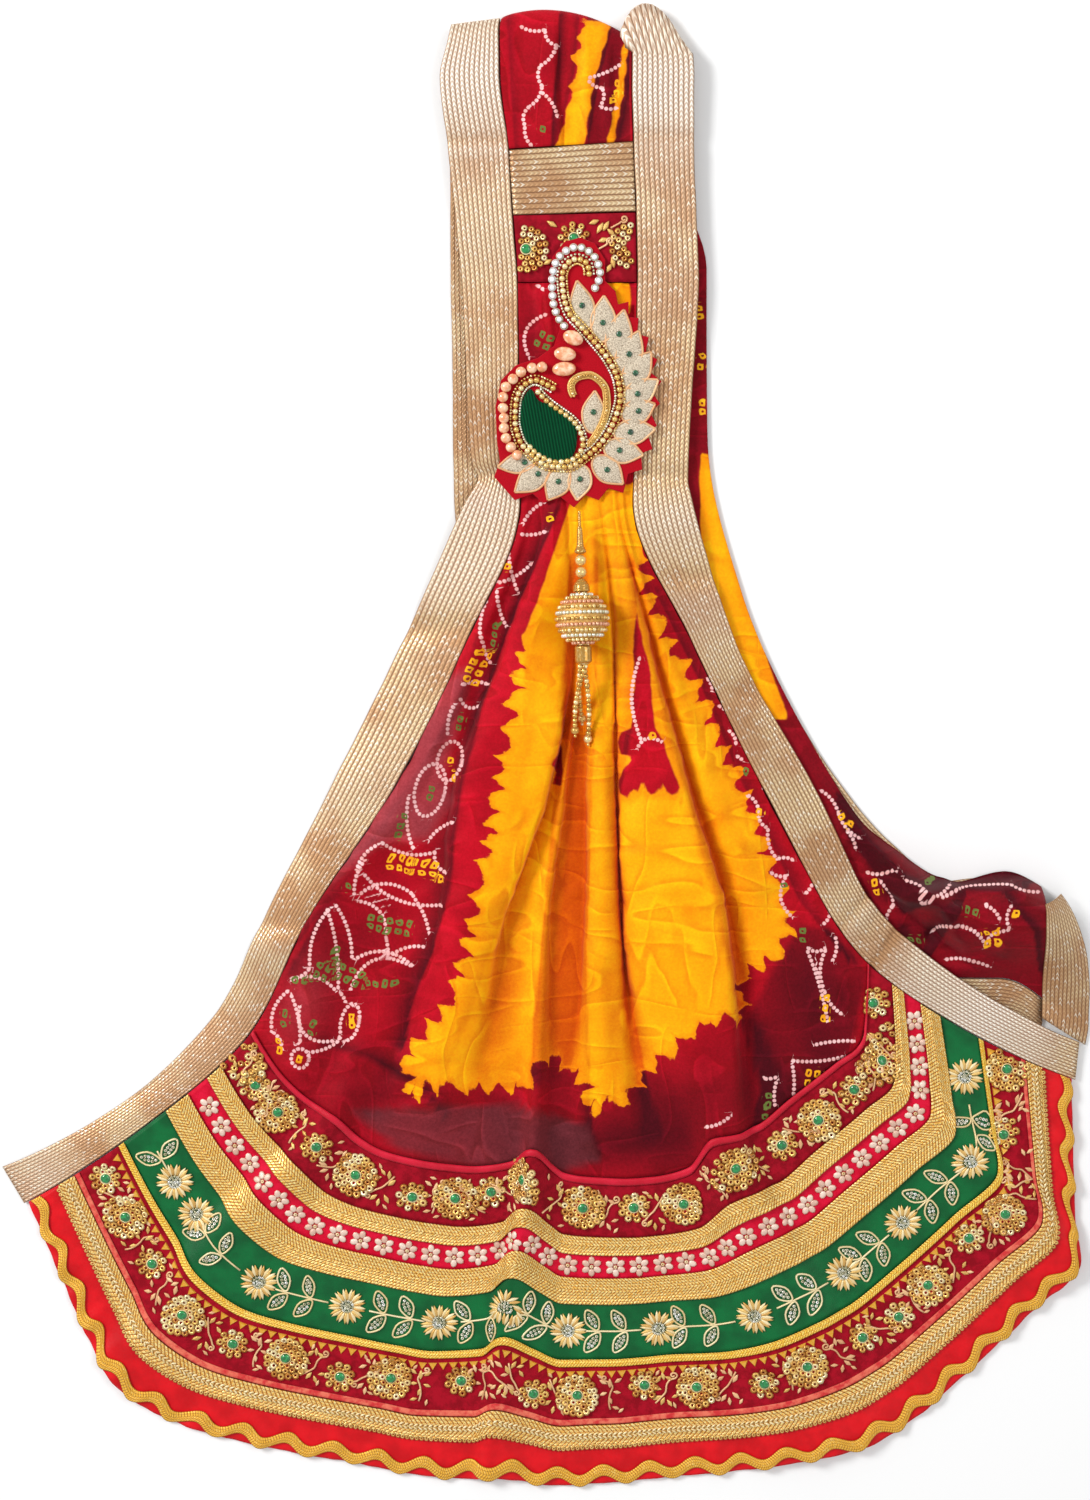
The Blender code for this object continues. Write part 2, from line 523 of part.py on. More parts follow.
def add_end_ribbon(cloth_end, shares):
    """The ribbon on the back leg's end, following the heap's last section."""
    rows = np.concatenate(((-0.12,), np.linspace(0.02, 0.78, 9)))
    inner = smooth_curve(shares, cloth_end, rows.clip(0.02, None)) + (1.0, 0, 0)
    inner[0] += (0, -END_RIBBON_TAIL, 0)
    outer = smooth_curve([row[0] for row in END_RIBBON], [row[1] for row in END_RIBBON], rows)
    middle = inner * 0.5 + outer * 0.5 + (0, 0, 3)
    points = np.stack((inner, middle, outer), axis=1)
    add_sheet("end_ribbon", points, grid_normals(points), RIBBON_THICK / 2, RIBBON_THICK / 2, "ribbon")


def add_plate(name, outline, level, thick, kind):
    """A flat plate from a closed outline, seen anticlockwise from above."""
    count = len(outline)
    top = [(x, y, level + thick) for x, y in outline]
    bottom = [(x, y, level) for x, y in outline]
    faces = [tuple(range(count)), tuple(reversed(range(count, 2 * count)))]
    for first in range(count):
        second = (first + 1) % count
        faces.append((second, first, count + first, count + second))
    piece = add_object(name, top + bottom, faces, kind)
    solid = bmesh.new()
    solid.from_mesh(piece.data)
    bmesh.ops.recalc_face_normals(solid, faces=solid.faces)
    bmesh.ops.triangulate(solid, faces=solid.faces)
    solid.to_mesh(piece.data)
    solid.free()


def round_outline(points, parts):
    """A closed smooth outline through the points."""
    points = np.array(points, float)
    loop = []
    for index in range(len(points)):
        p0, p1, p2, p3 = (points[(index + shift) % len(points)] for shift in (-1, 0, 1, 2))
        for part in range(parts):
            t = part / parts
            loop.append(0.5 * (2 * p1 + (p2 - p0) * t + (2 * p0 - 5 * p1 + 4 * p2 - p3) * t**2
                               + (3 * p1 - p0 - 3 * p2 + p3) * t**3))
    return [tuple(point) for point in loop]


def add_patch():
    """The felt ground with its feather tips, and the velvet paisley on it."""
    outline = list(PATCH_PLAIN_SIDE)
    middle = np.array((22.0, 250.0))
    tips = [np.array(tip, float) for tip in FEATHER_TIPS]
    for tip, following in zip(tips, tips[1:] + [None]):
        outline.append(tuple(tip))
        if following is not None:
            notch = (tip + following) / 2
            notch += (middle - notch) / np.linalg.norm(middle - notch) * FEATHER_NOTCH
            outline.append(tuple(notch))
    add_plate("patch_felt", outline[::-1], PATCH_LEVEL, PATCH_THICK, "felt")
    level = PATCH_LEVEL + PATCH_THICK + 0.35
    add_plate("patch_paisley", round_outline(PAISLEY, 3), level, PAISLEY_THICK, "velvet")


def turned(name, start, direction, profile, sides, kind):
    """A solid turned about a line, from distances along it and radii."""
    direction = Vector(direction).normalized()
    side = direction.cross(Vector((0, 0, 1))).normalized()
    up = side.cross(direction)
    vertices = []
    for along, radius in profile:
        for step in range(sides):
            angle = 2 * np.pi * step / sides
            spoke = side * np.cos(angle) + up * np.sin(angle)
            vertices.append(tuple(Vector(start) + direction * along + spoke * radius))
    last = (len(profile) - 1) * sides
    faces = [tuple(range(sides)), tuple(last + step for step in reversed(range(sides)))]
    for ring in range(len(profile) - 1):
        for step in range(sides):
            a, b = ring * sides + step, ring * sides + (step + 1) % sides
            faces.append((b, a, a + sides, b + sides))
    piece = add_object(name, vertices, faces, kind)
    solid = bmesh.new()
    solid.from_mesh(piece.data)
    bmesh.ops.recalc_face_normals(solid, faces=solid.faces)
    solid.to_mesh(piece.data)
    solid.free()
    return piece


def add_tassel():
    top = Vector((*TASSEL_TOP, TASSEL_LEVEL - 9))
    foot = Vector((*TASSEL_FOOT, TASSEL_LEVEL))
    line = (foot - top).normalized()
    for name, profile in TASSEL_PARTS:
        turned(name, top, line, profile, 10, "gold")
    rings = 10
    profile = []
    for ring in range(rings + 1):
        angle = np.pi * (0.06 + 0.88 * ring / rings)
        profile.append((BALL_START + BALL_RADIUS * (1 - np.cos(angle)), BALL_RADIUS * np.sin(angle)))
    turned("tassel_ball", top, line, profile, 18, "gold")
    tube_top = top + line * (profile[-1][0] + 0.4)
    tube_foot = tube_top + line * TUBE_LENGTH
    tube = turned("tassel_fringe", tube_top, line, ((0, TUBE_RADIUS - 1.2), (1.5, TUBE_RADIUS),
                  (TUBE_LENGTH - 1.5, TUBE_RADIUS), (TUBE_LENGTH, TUBE_RADIUS - 1.5)), 10, "gold")
    for index, strand_foot in enumerate(STRAND_FEET):
        turn = index * 2.1
        root = tube_foot - line * 2 + Vector((np.cos(turn) * 2.4, 0, np.sin(turn) * 2.4))
        reach = Vector(strand_foot) - root
        strand = turned(f"strand_{index}", root, reach, ((0, STRAND_RADIUS * 0.7), (6, STRAND_RADIUS),
                        (reach.length - 6, STRAND_RADIUS), (reach.length, STRAND_RADIUS * 0.8)), 4, "gold")
        join = tube.modifiers.new("join", "BOOLEAN")
        join.operation = "UNION"
        join.object = strand
        bpy.context.view_layer.objects.active = tube
        bpy.ops.object.modifier_apply(modifier="join")
        bpy.data.objects.remove(strand)


def main():
    for piece in list(bpy.data.objects):
        bpy.data.objects.remove(piece)
    columns = front_columns()
    add_front_cloth(columns)
    add_border(columns)
    add_braid(columns)
    add_yoke()
    cloth_end, shares = add_back_cloth()
    add_side_ribbons()
    add_end_ribbon(cloth_end, shares)
    add_patch()
    add_tassel()


main()
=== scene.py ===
from math import atan2, cos, hypot, pi, radians, sin, tau

import bpy
import numpy as np
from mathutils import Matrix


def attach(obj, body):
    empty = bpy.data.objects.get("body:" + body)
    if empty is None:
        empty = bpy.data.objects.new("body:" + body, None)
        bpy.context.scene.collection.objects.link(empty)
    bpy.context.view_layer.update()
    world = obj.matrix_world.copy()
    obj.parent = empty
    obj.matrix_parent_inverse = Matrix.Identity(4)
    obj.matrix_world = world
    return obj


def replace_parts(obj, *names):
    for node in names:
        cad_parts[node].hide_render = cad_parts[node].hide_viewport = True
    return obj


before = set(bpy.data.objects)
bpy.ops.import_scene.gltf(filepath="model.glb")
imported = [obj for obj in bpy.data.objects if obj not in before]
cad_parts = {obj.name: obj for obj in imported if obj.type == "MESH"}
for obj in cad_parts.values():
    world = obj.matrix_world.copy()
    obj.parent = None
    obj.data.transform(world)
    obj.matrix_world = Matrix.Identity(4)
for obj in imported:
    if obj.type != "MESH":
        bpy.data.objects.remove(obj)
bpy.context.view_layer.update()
print("frame loaded")

# The camera looks down on the laid-out scarf. Lengths in mm, picture places in pixels.
cameraView = {"place": (0.9,267.9,1782.5), "tilt": -8.0, "focal": 2553.2, "middle": (545,750), "lens": 61.28}
mm = 0.001
rng = np.random.default_rng(7)


def picturePlace(points):
    # where points of the table show in the picture
    tilt = radians(cameraView["tilt"])
    away = np.asarray(points, float) - cameraView["place"]
    depth = away[..., 1] * sin(tilt) - away[..., 2] * cos(tilt)
    rise = away[..., 1] * cos(tilt) + away[..., 2] * sin(tilt)
    scale = cameraView["focal"] / depth
    middle = cameraView["middle"]
    return np.stack((middle[0] + away[..., 0] * scale, middle[1] - rise * scale), -1)


def tablePlace(picture, level):
    # where the sight line through a picture place meets a level plane
    tilt = radians(cameraView["tilt"])
    picture = np.asarray(picture, float)
    right = (picture[..., 0] - cameraView["middle"][0]) / cameraView["focal"]
    up = (cameraView["middle"][1] - picture[..., 1]) / cameraView["focal"]
    sight = np.stack((right, up * cos(tilt) + sin(tilt), up * sin(tilt) - cos(tilt)), -1)
    reach = (level - cameraView["place"][2]) / sight[..., 2]
    return np.array(cameraView["place"]) + sight * reach[..., None]


# Places along the cloth, from the hem up the front, over the fold and down the back, in mm.
hem, band, border, calf, knee, hip, waist, seam = 0, 118, 236, 350, 455, 557, 655, 803
yoke, crossbar, topFold, clothEnd = 848, 893, 983, 1915
middle = np.array((-0.9, -17.4, 0.0))

# Both long edges: place, left ribbon's outer and inner edge, right ribbon's inner and outer edge.
edgeTable = (
    (hem, (-391,-303,0.5), (-376,-330,1.2), (380,-238,3), (382,-210,4)),
    (band, (-304,-256,0.5), (-288,-272,6), (296,-198,8), (311,-174,7.5)),
    (border, (-231,-184,0.5), (-208,-199,10), (229,-151,9), (247,-125,8.5)),
    (calf, (-204,-129,0.5), (-172,-127,10), (209,-127,10), (229,-104,8.5)),
    (knee, (-150,-24,0.5), (-105,-23,9), (152,-23,11), (188,-23,8.5)),
    (hip, (-99,78,1.2), (-54,79,9), (102,79,11), (132,79,8.5)),
    (waist, (-55,174,6), (-17,176,10), (61,176,11), (102,176,9)),
    (672, (-46,191,6), (-18,194,10), (61,194,11), (99,190,9)),
    (684, (-50,200,6), (-18,205,10), (61,205,11), (99,201,9)),
    (seam, (-57,324,8), (-19,324,11), (63,324,12), (105,324,10)),
    (yoke, (-61,369,8), (-22,369,12), (62,371,12), (103,371,10)),
    (crossbar, (-66,413,9), (-25,413,12), (60,418,12), (101,416,11)),
    (945, (-71,461,11), (-31,465,13), (59,458,13), (101,458,12)),
    (973, (-65,486,11), (-31,492,13), (59,477,13), (100,476,12)),
    (topFold, (-63,495,7), (-30,499,7.5), (59,485,7.5), (98,483,7.5)),
    (993, (-63,489,1.5), (-30,493,1.5), (59,480,1.5), (98,478,1.5)),
    (1020, (-65,469,0.5), (-31,473,0.5), (60,460,0.5), (100,460,0.5)),
    (1317, (-63,176,0.5), (-23,176,0.5), (63,217,0.5), (102,217,0.5)),
    (1455, (-28,25,0.5), (8,43,0.5), (104,92,0.5), (138,106,0.5)),
    (1580, (38,-97,0.5), (67,-71,0.5), (164,-13,0.5), (185,10,0.5)),
    (1690, (132,-169,0.5), (153,-137,0.5), (223,-86,0.5), (245,-66,0.5)),
    (1785, (229,-202,0.5), (239,-169,1), (281,-121,0.5), (284,-94,0.5)),
    (1835, (283,-196,0.5), (285,-164,2), (303,-119,0.5), (305,-92,0.5)),
    (1875, (326,-196,0.5), (324,-164,3), (326,-119,0.5), (325,-92,0.5)),
    (clothEnd, (355,-210,0.5), (356,-180,3), (352,-123,0.5), (351,-98,0.5)),
)

# Fold lines of the front, left to right: x at seam, waist, hip, knee and calf, heights there,
# then x, y, z on the border seam, in mid-border and on the hem.
levelY = (324, 176, 79, -23, -127)
foldTable = (
    ((-14,-13,-46,-93,-156), (10,11.2,12,12,12), (-187,-233,8), (-267,-314,4), (-353,-390,1.2)),
    ((-12,-10,-39,-81,-130), (10,10,7,7,6), (-167,-253,4), (-251,-340,3), (-334,-438,1)),
    ((-9,-8,-34,-72,-103), (10,9.4,6.5,6,6), (-151,-261,12), (-240,-360,8), (-317,-469,4)),
    ((-6,-1,-28,-65,-80), (11,9.4,7,7,10), (-134,-279,4), (-205,-391,3), (-280,-496,1)),
    ((-3,3,-24,-60,-73), (11,11.2,17,23,19), (-116,-289,6), (-174,-401,2.5), (-234,-512,1)),
    ((-1,7,-10,-37,-54), (12,12.4,21,28,26), (-93,-295,7), (-134,-410,2.5), (-175,-525,1)),
    ((2,11,17,1,-34), (12,12.4,13,24,20), (-71,-299,5), (-102,-417,2), (-134,-532,0.8)),
    ((5,15,20,5,-29), (11,10.6,8.5,8,7.5), (-50,-301,4), (-76,-421,1.5), (-103,-539,0.8)),
    ((8,18,22.5,9,-12), (11,10.6,9,11,11), (-23,-297,4), (-43,-418,2), (-58,-544,0.8)),
    ((11,21,25,13,0), (11,11.8,10,15,15), (-9,-284,19), (-27,-405,11), (-43,-542,6)),
    ((14,24,27,17,5), (10,10.6,8,7.5,7.5), (4,-298,8), (-7,-417,5), (-17,-545,2.5)),
    ((17,27,29,28,26), (10,10.6,8,7.5,7.5), (14,-306,4), (12,-427,1.5), (11,-549,0.8)),
    ((20,30,32,32,30), (12,12.4,12.5,21,19), (27,-308,6), (31,-427,2), (35,-547,0.8)),
    ((24,33,38,40,40), (12,12.6,14,25,22), (42,-309,6), (49,-427,2), (56,-546,0.8)),
    ((28,36,45,47,51), (12,12.4,17,21,18), (59,-310,5), (69,-426,1.5), (79,-543,0.8)),
    ((31,39,48,50,54.5), (11,11.2,12,13,8), (77,-309,4), (89,-424,1.5), (102,-541,0.8)),
    ((35,42,51.5,54,59), (11,12.4,20,23,22), (104,-301,6), (123,-422,2), (143,-537,1)),
    ((38,45,60,70,89), (12,12.6,24,28,30), (120,-275,22), (161,-409,11), (195,-527,6)),
    ((42,48,70,97,127), (12,12.6,21,26,27), (137,-273,19), (189,-396,10), (235,-518,5)),
    ((45,51,74,102,132), (10,11.2,10,10,10), (151,-270,7), (209,-387,4), (266,-501,1.5)),
    ((49,53.5,80,114,153), (11,12.4,15,17,17), (175,-250,8), (242,-360,3), (307,-464,1)),
    ((52,55.5,87,128,173), (11,10.6,11,12,12), (206,-225,8), (280,-323,6), (357,-413,2.5)),
    ((55.5,57.5,92,138,186), (10,10.3,9,9,9), (222,-211,13), (310,-289,12), (389,-377,8)),
    ((59,59.3,96,145,195), (10,10.3,8.5,8.5,8.5), (227,-199,8), (307,-264,5), (386,-350,3)),
)
foldLevels = (hem, band, border, calf, knee, hip, waist, seam)


def unit(vectors):
    return vectors / np.maximum(np.linalg.norm(vectors, axis=-1, keepdims=True), 1e-9)


def endSlope(step, nextStep, rise, nextRise):
    slope = ((2 * step + nextStep) * rise - step * nextRise) / (step + nextStep)
    slope = np.where(np.sign(slope) != np.sign(rise), 0.0, slope)
    steep = (np.sign(rise) != np.sign(nextRise)) & (abs(slope) > 3 * abs(rise))
    return np.where(steep, 3 * rise, slope)


def smoothCurve(knots, values, where):
    # a smooth curve without overshoot through values at rising knots
    knots, values = np.asarray(knots, float), np.asarray(values, float)
    where = np.atleast_1d(np.asarray(where, float))
    steps = np.diff(knots)[:, None]
    rises = np.diff(values, axis=0) / steps
    slopes = np.zeros_like(values)
    before, after = rises[:-1], rises[1:]
    weightA, weightB = 2 * steps[1:] + steps[:-1], steps[1:] + 2 * steps[:-1]
    sameWay = before * after > 0
    divisor = weightA / np.where(sameWay, before, 1) + weightB / np.where(sameWay, after, 1)
    slopes[1:-1] = np.where(sameWay, (weightA + weightB) / divisor, 0)
    slopes[0] = endSlope(steps[0], steps[1], rises[0], rises[1])
    slopes[-1] = endSlope(steps[-1], steps[-2], rises[-1], rises[-2])
    index = np.clip(np.searchsorted(knots, where, side="right") - 1, 0, len(knots) - 2)
    width = steps[index]
    t = (where - knots[index])[:, None] / width
    low = values[index] * (2 * t**3 - 3 * t**2 + 1) + slopes[index] * width * (t**3 - 2 * t**2 + t)
    return low + values[index + 1] * (3 * t**2 - 2 * t**3) + slopes[index + 1] * width * (t**3 - t**2)


def tableCurve(table, where):
    # smooth columns of a table whose rows start with their place
    return smoothCurve([row[0] for row in table], [row[1:] for row in table], where)


def edge(column, where):
    return smoothCurve([row[0] for row in edgeTable], [row[column] for row in edgeTable], where) - middle


def clothEdge(side, where):
    # the cloth's own edge, just inside the ribbon on that side
    inner, outer = (edge(2, where), edge(1, where)) if side == "left" else (edge(3, where), edge(4, where))
    return inner + unit((inner - outer) * (1, 1, 0)) * 0.6


def foldLine(row, where):
    across, heights, *onBorder = row
    points = [(x, y, z) for x, y, z in zip(across, levelY, heights)] + list(onBorder)
    return smoothCurve(foldLevels, points[::-1], where) - middle


def frontPoints(columns, places):
    folds = [foldLine(row, places) for row in foldTable]
    lines = [clothEdge("left", places), *folds, clothEdge("right", places)]
    lines = np.stack(lines, axis=1)
    return np.stack([smoothCurve(np.arange(lines.shape[1]), line, columns) for line in lines])


def frontSheet(columns, places):
    last = len(foldTable) + 1
    points = frontPoints(columns, places)
    across = (frontPoints((columns + 0.12).clip(0, last), places)
              - frontPoints((columns - 0.12).clip(0, last), places))
    along = (frontPoints(columns, np.clip(places + 3, hem, seam))
             - frontPoints(columns, np.clip(places - 3, hem, seam)))
    return points, unit(np.cross(across, along))


def gridNormals(points):
    return unit(np.cross(np.gradient(points, axis=1), np.gradient(points, axis=0)))


def travel(points):
    # distance travelled along a row of points
    return np.concatenate(([0], np.cumsum(np.linalg.norm(np.diff(points, axis=0), axis=-1))))


def noise2(x, y, seed):
    # smooth repeatable waviness between -1 and 1
    total = np.zeros(np.broadcast(x, y).shape)
    turn = np.random.default_rng(seed)
    for octave in range(4):
        a, b, p, q = turn.uniform(0.6, 1.4, 2).tolist() + turn.uniform(0, 6.28, 2).tolist()
        total += np.sin(x * a * 1.7**octave + p + 1.3 * np.sin(y * b * 1.5**octave + q)) / 1.6**octave
    return total / 2.4


def deselect():
    if bpy.context.object and bpy.context.object.mode != "OBJECT":
        bpy.ops.object.mode_set(mode="OBJECT")
    bpy.ops.object.select_all(action="DESELECT")


def finishPiece(piece, material, replaces=()):
    piece.data.materials.clear()
    piece.data.materials.append(material)
    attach(piece, "root")
    if replaces:
        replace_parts(piece, *replaces)
    return piece


def setCoordinates(mesh, points):
    mesh.vertices.foreach_set("co", (np.asarray(points, float).reshape(-1, 3) * mm).ravel())
    mesh.update()


def addGrid(name, points, thick=0.6, offset=-1.0, uv=None, attributes=None):
    # a grid primitive laid over the points, then thickened
    rows, columns = points.shape[:2]
    points = points.copy()
    deselect()
    bpy.ops.mesh.primitive_grid_add(x_subdivisions=columns - 1, y_subdivisions=rows - 1, size=1, calc_uvs=True)
    piece = bpy.context.object
    piece.name = piece.data.name = name
    mesh = piece.data
    if len(mesh.vertices) != rows * columns:
        raise RuntimeError(f"{name}: {len(mesh.vertices)} points, not {rows * columns}")
    setCoordinates(mesh, points)
    if uv is not None:
        layer = mesh.uv_layers[0]
        corner = np.empty(len(mesh.loops), np.int32)
        mesh.loops.foreach_get("vertex_index", corner)
        layer.data.foreach_set("uv", uv.reshape(-1, 2)[corner].ravel())
    for label, values in (attributes or {}).items():
        size = values.shape[-1]
        kind, field = ("FLOAT_VECTOR", "vector") if size == 3 else ("FLOAT_COLOR", "color")
        made = mesh.attributes.new(label, kind, "POINT")
        made.data.foreach_set(field, np.ascontiguousarray(values, np.float32).ravel())
    bpy.ops.object.shade_smooth()
    if thick:
        solid = piece.modifiers.new("thickness", "SOLIDIFY")
        solid.thickness = thick * mm
        solid.offset = offset
        bpy.ops.object.modifier_apply(modifier="thickness")
    return piece


def meshPiece(name, vertices, faces, smooth=True, shades=None, uv=None):
    mesh = bpy.data.meshes.new(name)
    mesh.from_pydata((np.asarray(vertices, float) * mm).tolist(), [], [tuple(face) for face in faces])
    mesh.update()
    if smooth:
        mesh.shade_smooth()
    if shades is not None:
        made = mesh.attributes.new("shade", "FLOAT", "POINT")
        made.data.foreach_set("value", np.asarray(shades, np.float32))
    if uv is not None:
        layer = mesh.uv_layers.new(name="weave")
        corner = np.empty(len(mesh.loops), np.int32)
        mesh.loops.foreach_get("vertex_index", corner)
        layer.data.foreach_set("uv", np.asarray(uv, float).reshape(-1, 2)[corner].ravel())
    piece = bpy.data.objects.new(name, mesh)
    bpy.context.collection.objects.link(piece)
    return piece


def takeSeed(shapeIt=None):
    # the active primitive's vertices and faces, in mm, after which it is removed
    piece = bpy.context.object
    mesh = piece.data
    points = np.array([vertex.co for vertex in mesh.vertices])
    faces = [tuple(face.vertices) for face in mesh.polygons]
    if shapeIt is not None:
        points = shapeIt(points)
    bpy.data.objects.remove(piece)
    bpy.data.meshes.remove(mesh)
    return points, faces


def ballSeed(segments, rings, shapeIt=None):
    deselect()
    bpy.ops.mesh.primitive_uv_sphere_add(segments=segments, ring_count=rings, radius=1)
    return takeSeed(shapeIt)


def ringSeed(major, minor, thick):
    deselect()
    bpy.ops.mesh.primitive_torus_add(major_segments=major, minor_segments=minor, major_radius=1 - thick,
                                     minor_radius=thick)
    return takeSeed()


def leafShape(points):
    # pointed at both ends, with a flat back
    points = points.copy()
    points[:, 1] *= np.sqrt(np.clip(1 - points[:, 0] ** 2, 0, 1)) * 0.6 + 0.4 * (1 - abs(points[:, 0]))
    points[:, 2] = np.where(points[:, 2] < 0, points[:, 2] * 0.2, points[:, 2])
    return points


def stoneShape(points):
    # a table cut on a low dome
    points = points.copy()
    points[:, 2] = np.clip(points[:, 2], -0.3, 0.72)
    return points


seeds = {
    "bead": ballSeed(8, 5),
    "ball": ballSeed(12, 8),
    "stone": ballSeed(8, 6, stoneShape),
    "leaf": ballSeed(8, 6, leafShape),
    "sequin": ringSeed(9, 3, 0.45),
    "fineRing": ringSeed(14, 4, 0.12),
}


def wallFaces(rows, sides, start=0, turned=False):
    # faces of a wall of rings, closed at both ends
    faces = []
    for row in range(rows - 1):
        for step in range(sides):
            a, b = start + row * sides + step, start + row * sides + (step + 1) % sides
            faces.append((a, b, b + sides, a + sides))
    faces.append(tuple(range(start, start + sides))[::-1])
    faces.append(tuple(range(start + (rows - 1) * sides, start + rows * sides)))
    return [face[::-1] for face in faces] if turned else faces


def tubes(name, paths, radius, sides=5, ups=None):
    # round cords along paths, with closed ends
    vertices, faces, uvs, shades = [], [], [], []
    turn = np.arange(sides) * tau / sides
    for number, path in enumerate(paths):
        path = np.asarray(path, float)
        forward = unit(np.gradient(path, axis=0))
        up = ups[number] if ups is not None else np.tile((0.0, 0.0, 1.0), (len(path), 1))
        side = unit(np.cross(forward, up))
        up = np.cross(side, forward)
        ring = side[:, None] * np.cos(turn)[None, :, None] + up[:, None] * np.sin(turn)[None, :, None]
        faces += wallFaces(len(path), sides, sum(len(part) for part in vertices))
        vertices.append((path[:, None] + ring * radius).reshape(-1, 3))
        distance = travel(path)
        uvs.append(np.stack(np.broadcast_arrays(distance[:, None], np.arange(sides)[None] / sides),
                -1).reshape(-1, 2))
        shades.append(np.full(len(path) * sides, rng.uniform()))
    return meshPiece(name, np.vstack(vertices), faces, True, np.concatenate(shades), np.vstack(uvs))


lastColumn = len(foldTable) + 1
denseColumns = np.linspace(0, lastColumn, lastColumn * 16 + 1)
densePlaces = np.linspace(hem, border, 119)
densePoints, denseNormals = frontSheet(denseColumns, densePlaces)
densePicture = picturePlace(densePoints)


def sampleGrid(grid, column, place):
    x = np.clip(np.asarray(column, float) * 16, 0, len(denseColumns) - 1.001)
    y = np.clip(np.asarray(place, float) / 2, 0, len(densePlaces) - 1.001)
    i, j = y.astype(int), x.astype(int)
    u, v = (x - j)[..., None], (y - i)[..., None]
    top = grid[i, j] * (1 - u) + grid[i, j + 1] * u
    return top * (1 - v) + (grid[i + 1, j] * (1 - u) + grid[i + 1, j + 1] * u) * v


def surfaceAt(column, place):
    return sampleGrid(densePoints, column, place), unit(sampleGrid(denseNormals, column, place))


def surfaceFrame(column, place):
    # the point, the direction along the bands, the direction towards the seam and the normal
    point, normal = surfaceAt(column, place)
    ahead = surfaceAt(np.asarray(column) + 0.2, place)[0] - surfaceAt(np.asarray(column) - 0.2, place)[0]
    along = unit(ahead - normal * (ahead * normal).sum(-1, keepdims=True))
    return point, along, np.cross(normal, along), normal


def shifted(column, place, dx, dy):
    # steps dx along the band and dy towards the seam, in mm, and gives the new column and place
    point, along, up, normal = surfaceFrame(column, place)
    perColumn = (surfaceAt(np.asarray(column) + 0.15, place)[0]
            - surfaceAt(np.asarray(column) - 0.15, place)[0]) / 0.3
    perPlace = (surfaceAt(column, np.asarray(place) + 2)[0] - surfaceAt(column, np.asarray(place) - 2)[0]) / 4
    a, b = (perColumn * along).sum(-1), (perPlace * along).sum(-1)
    c, d = (perColumn * up).sum(-1), (perPlace * up).sum(-1)
    scale = a * d - b * c
    return column + (dx * d - dy * b) / scale, place + (a * dy - c * dx) / scale


def fromPicture(pixels):
    # the column and place of the front's border that a picture place shows
    found = []
    flat = densePicture.reshape(-1, 2)
    for pixel in np.asarray(pixels, float):
        nearest = np.argmin(((flat - pixel) ** 2).sum(-1))
        found.append((denseColumns[nearest % len(denseColumns)], densePlaces[nearest // len(denseColumns)]))
    return np.array(found)


def sumNode(operation, turned=False):
    return lambda a, *b: a.shader.calc(operation, *((*b, a) if turned else (a, *b)))


class Value:
    # a value inside a material, and sums with it make Math nodes
    def __init__(self, shader, socket):
        self.shader, self.socket = shader, socket

    __add__, __radd__ = sumNode("ADD"), sumNode("ADD", True)
    __sub__, __rsub__ = sumNode("SUBTRACT"), sumNode("SUBTRACT", True)
    __mul__, __rmul__ = sumNode("MULTIPLY"), sumNode("MULTIPLY", True)
    __truediv__ = sumNode("DIVIDE")
    __abs__, floor, fract, sine, sqrt = (
        sumNode(name) for name in ("ABSOLUTE", "FLOOR", "FRACT", "SINE", "SQRT"))


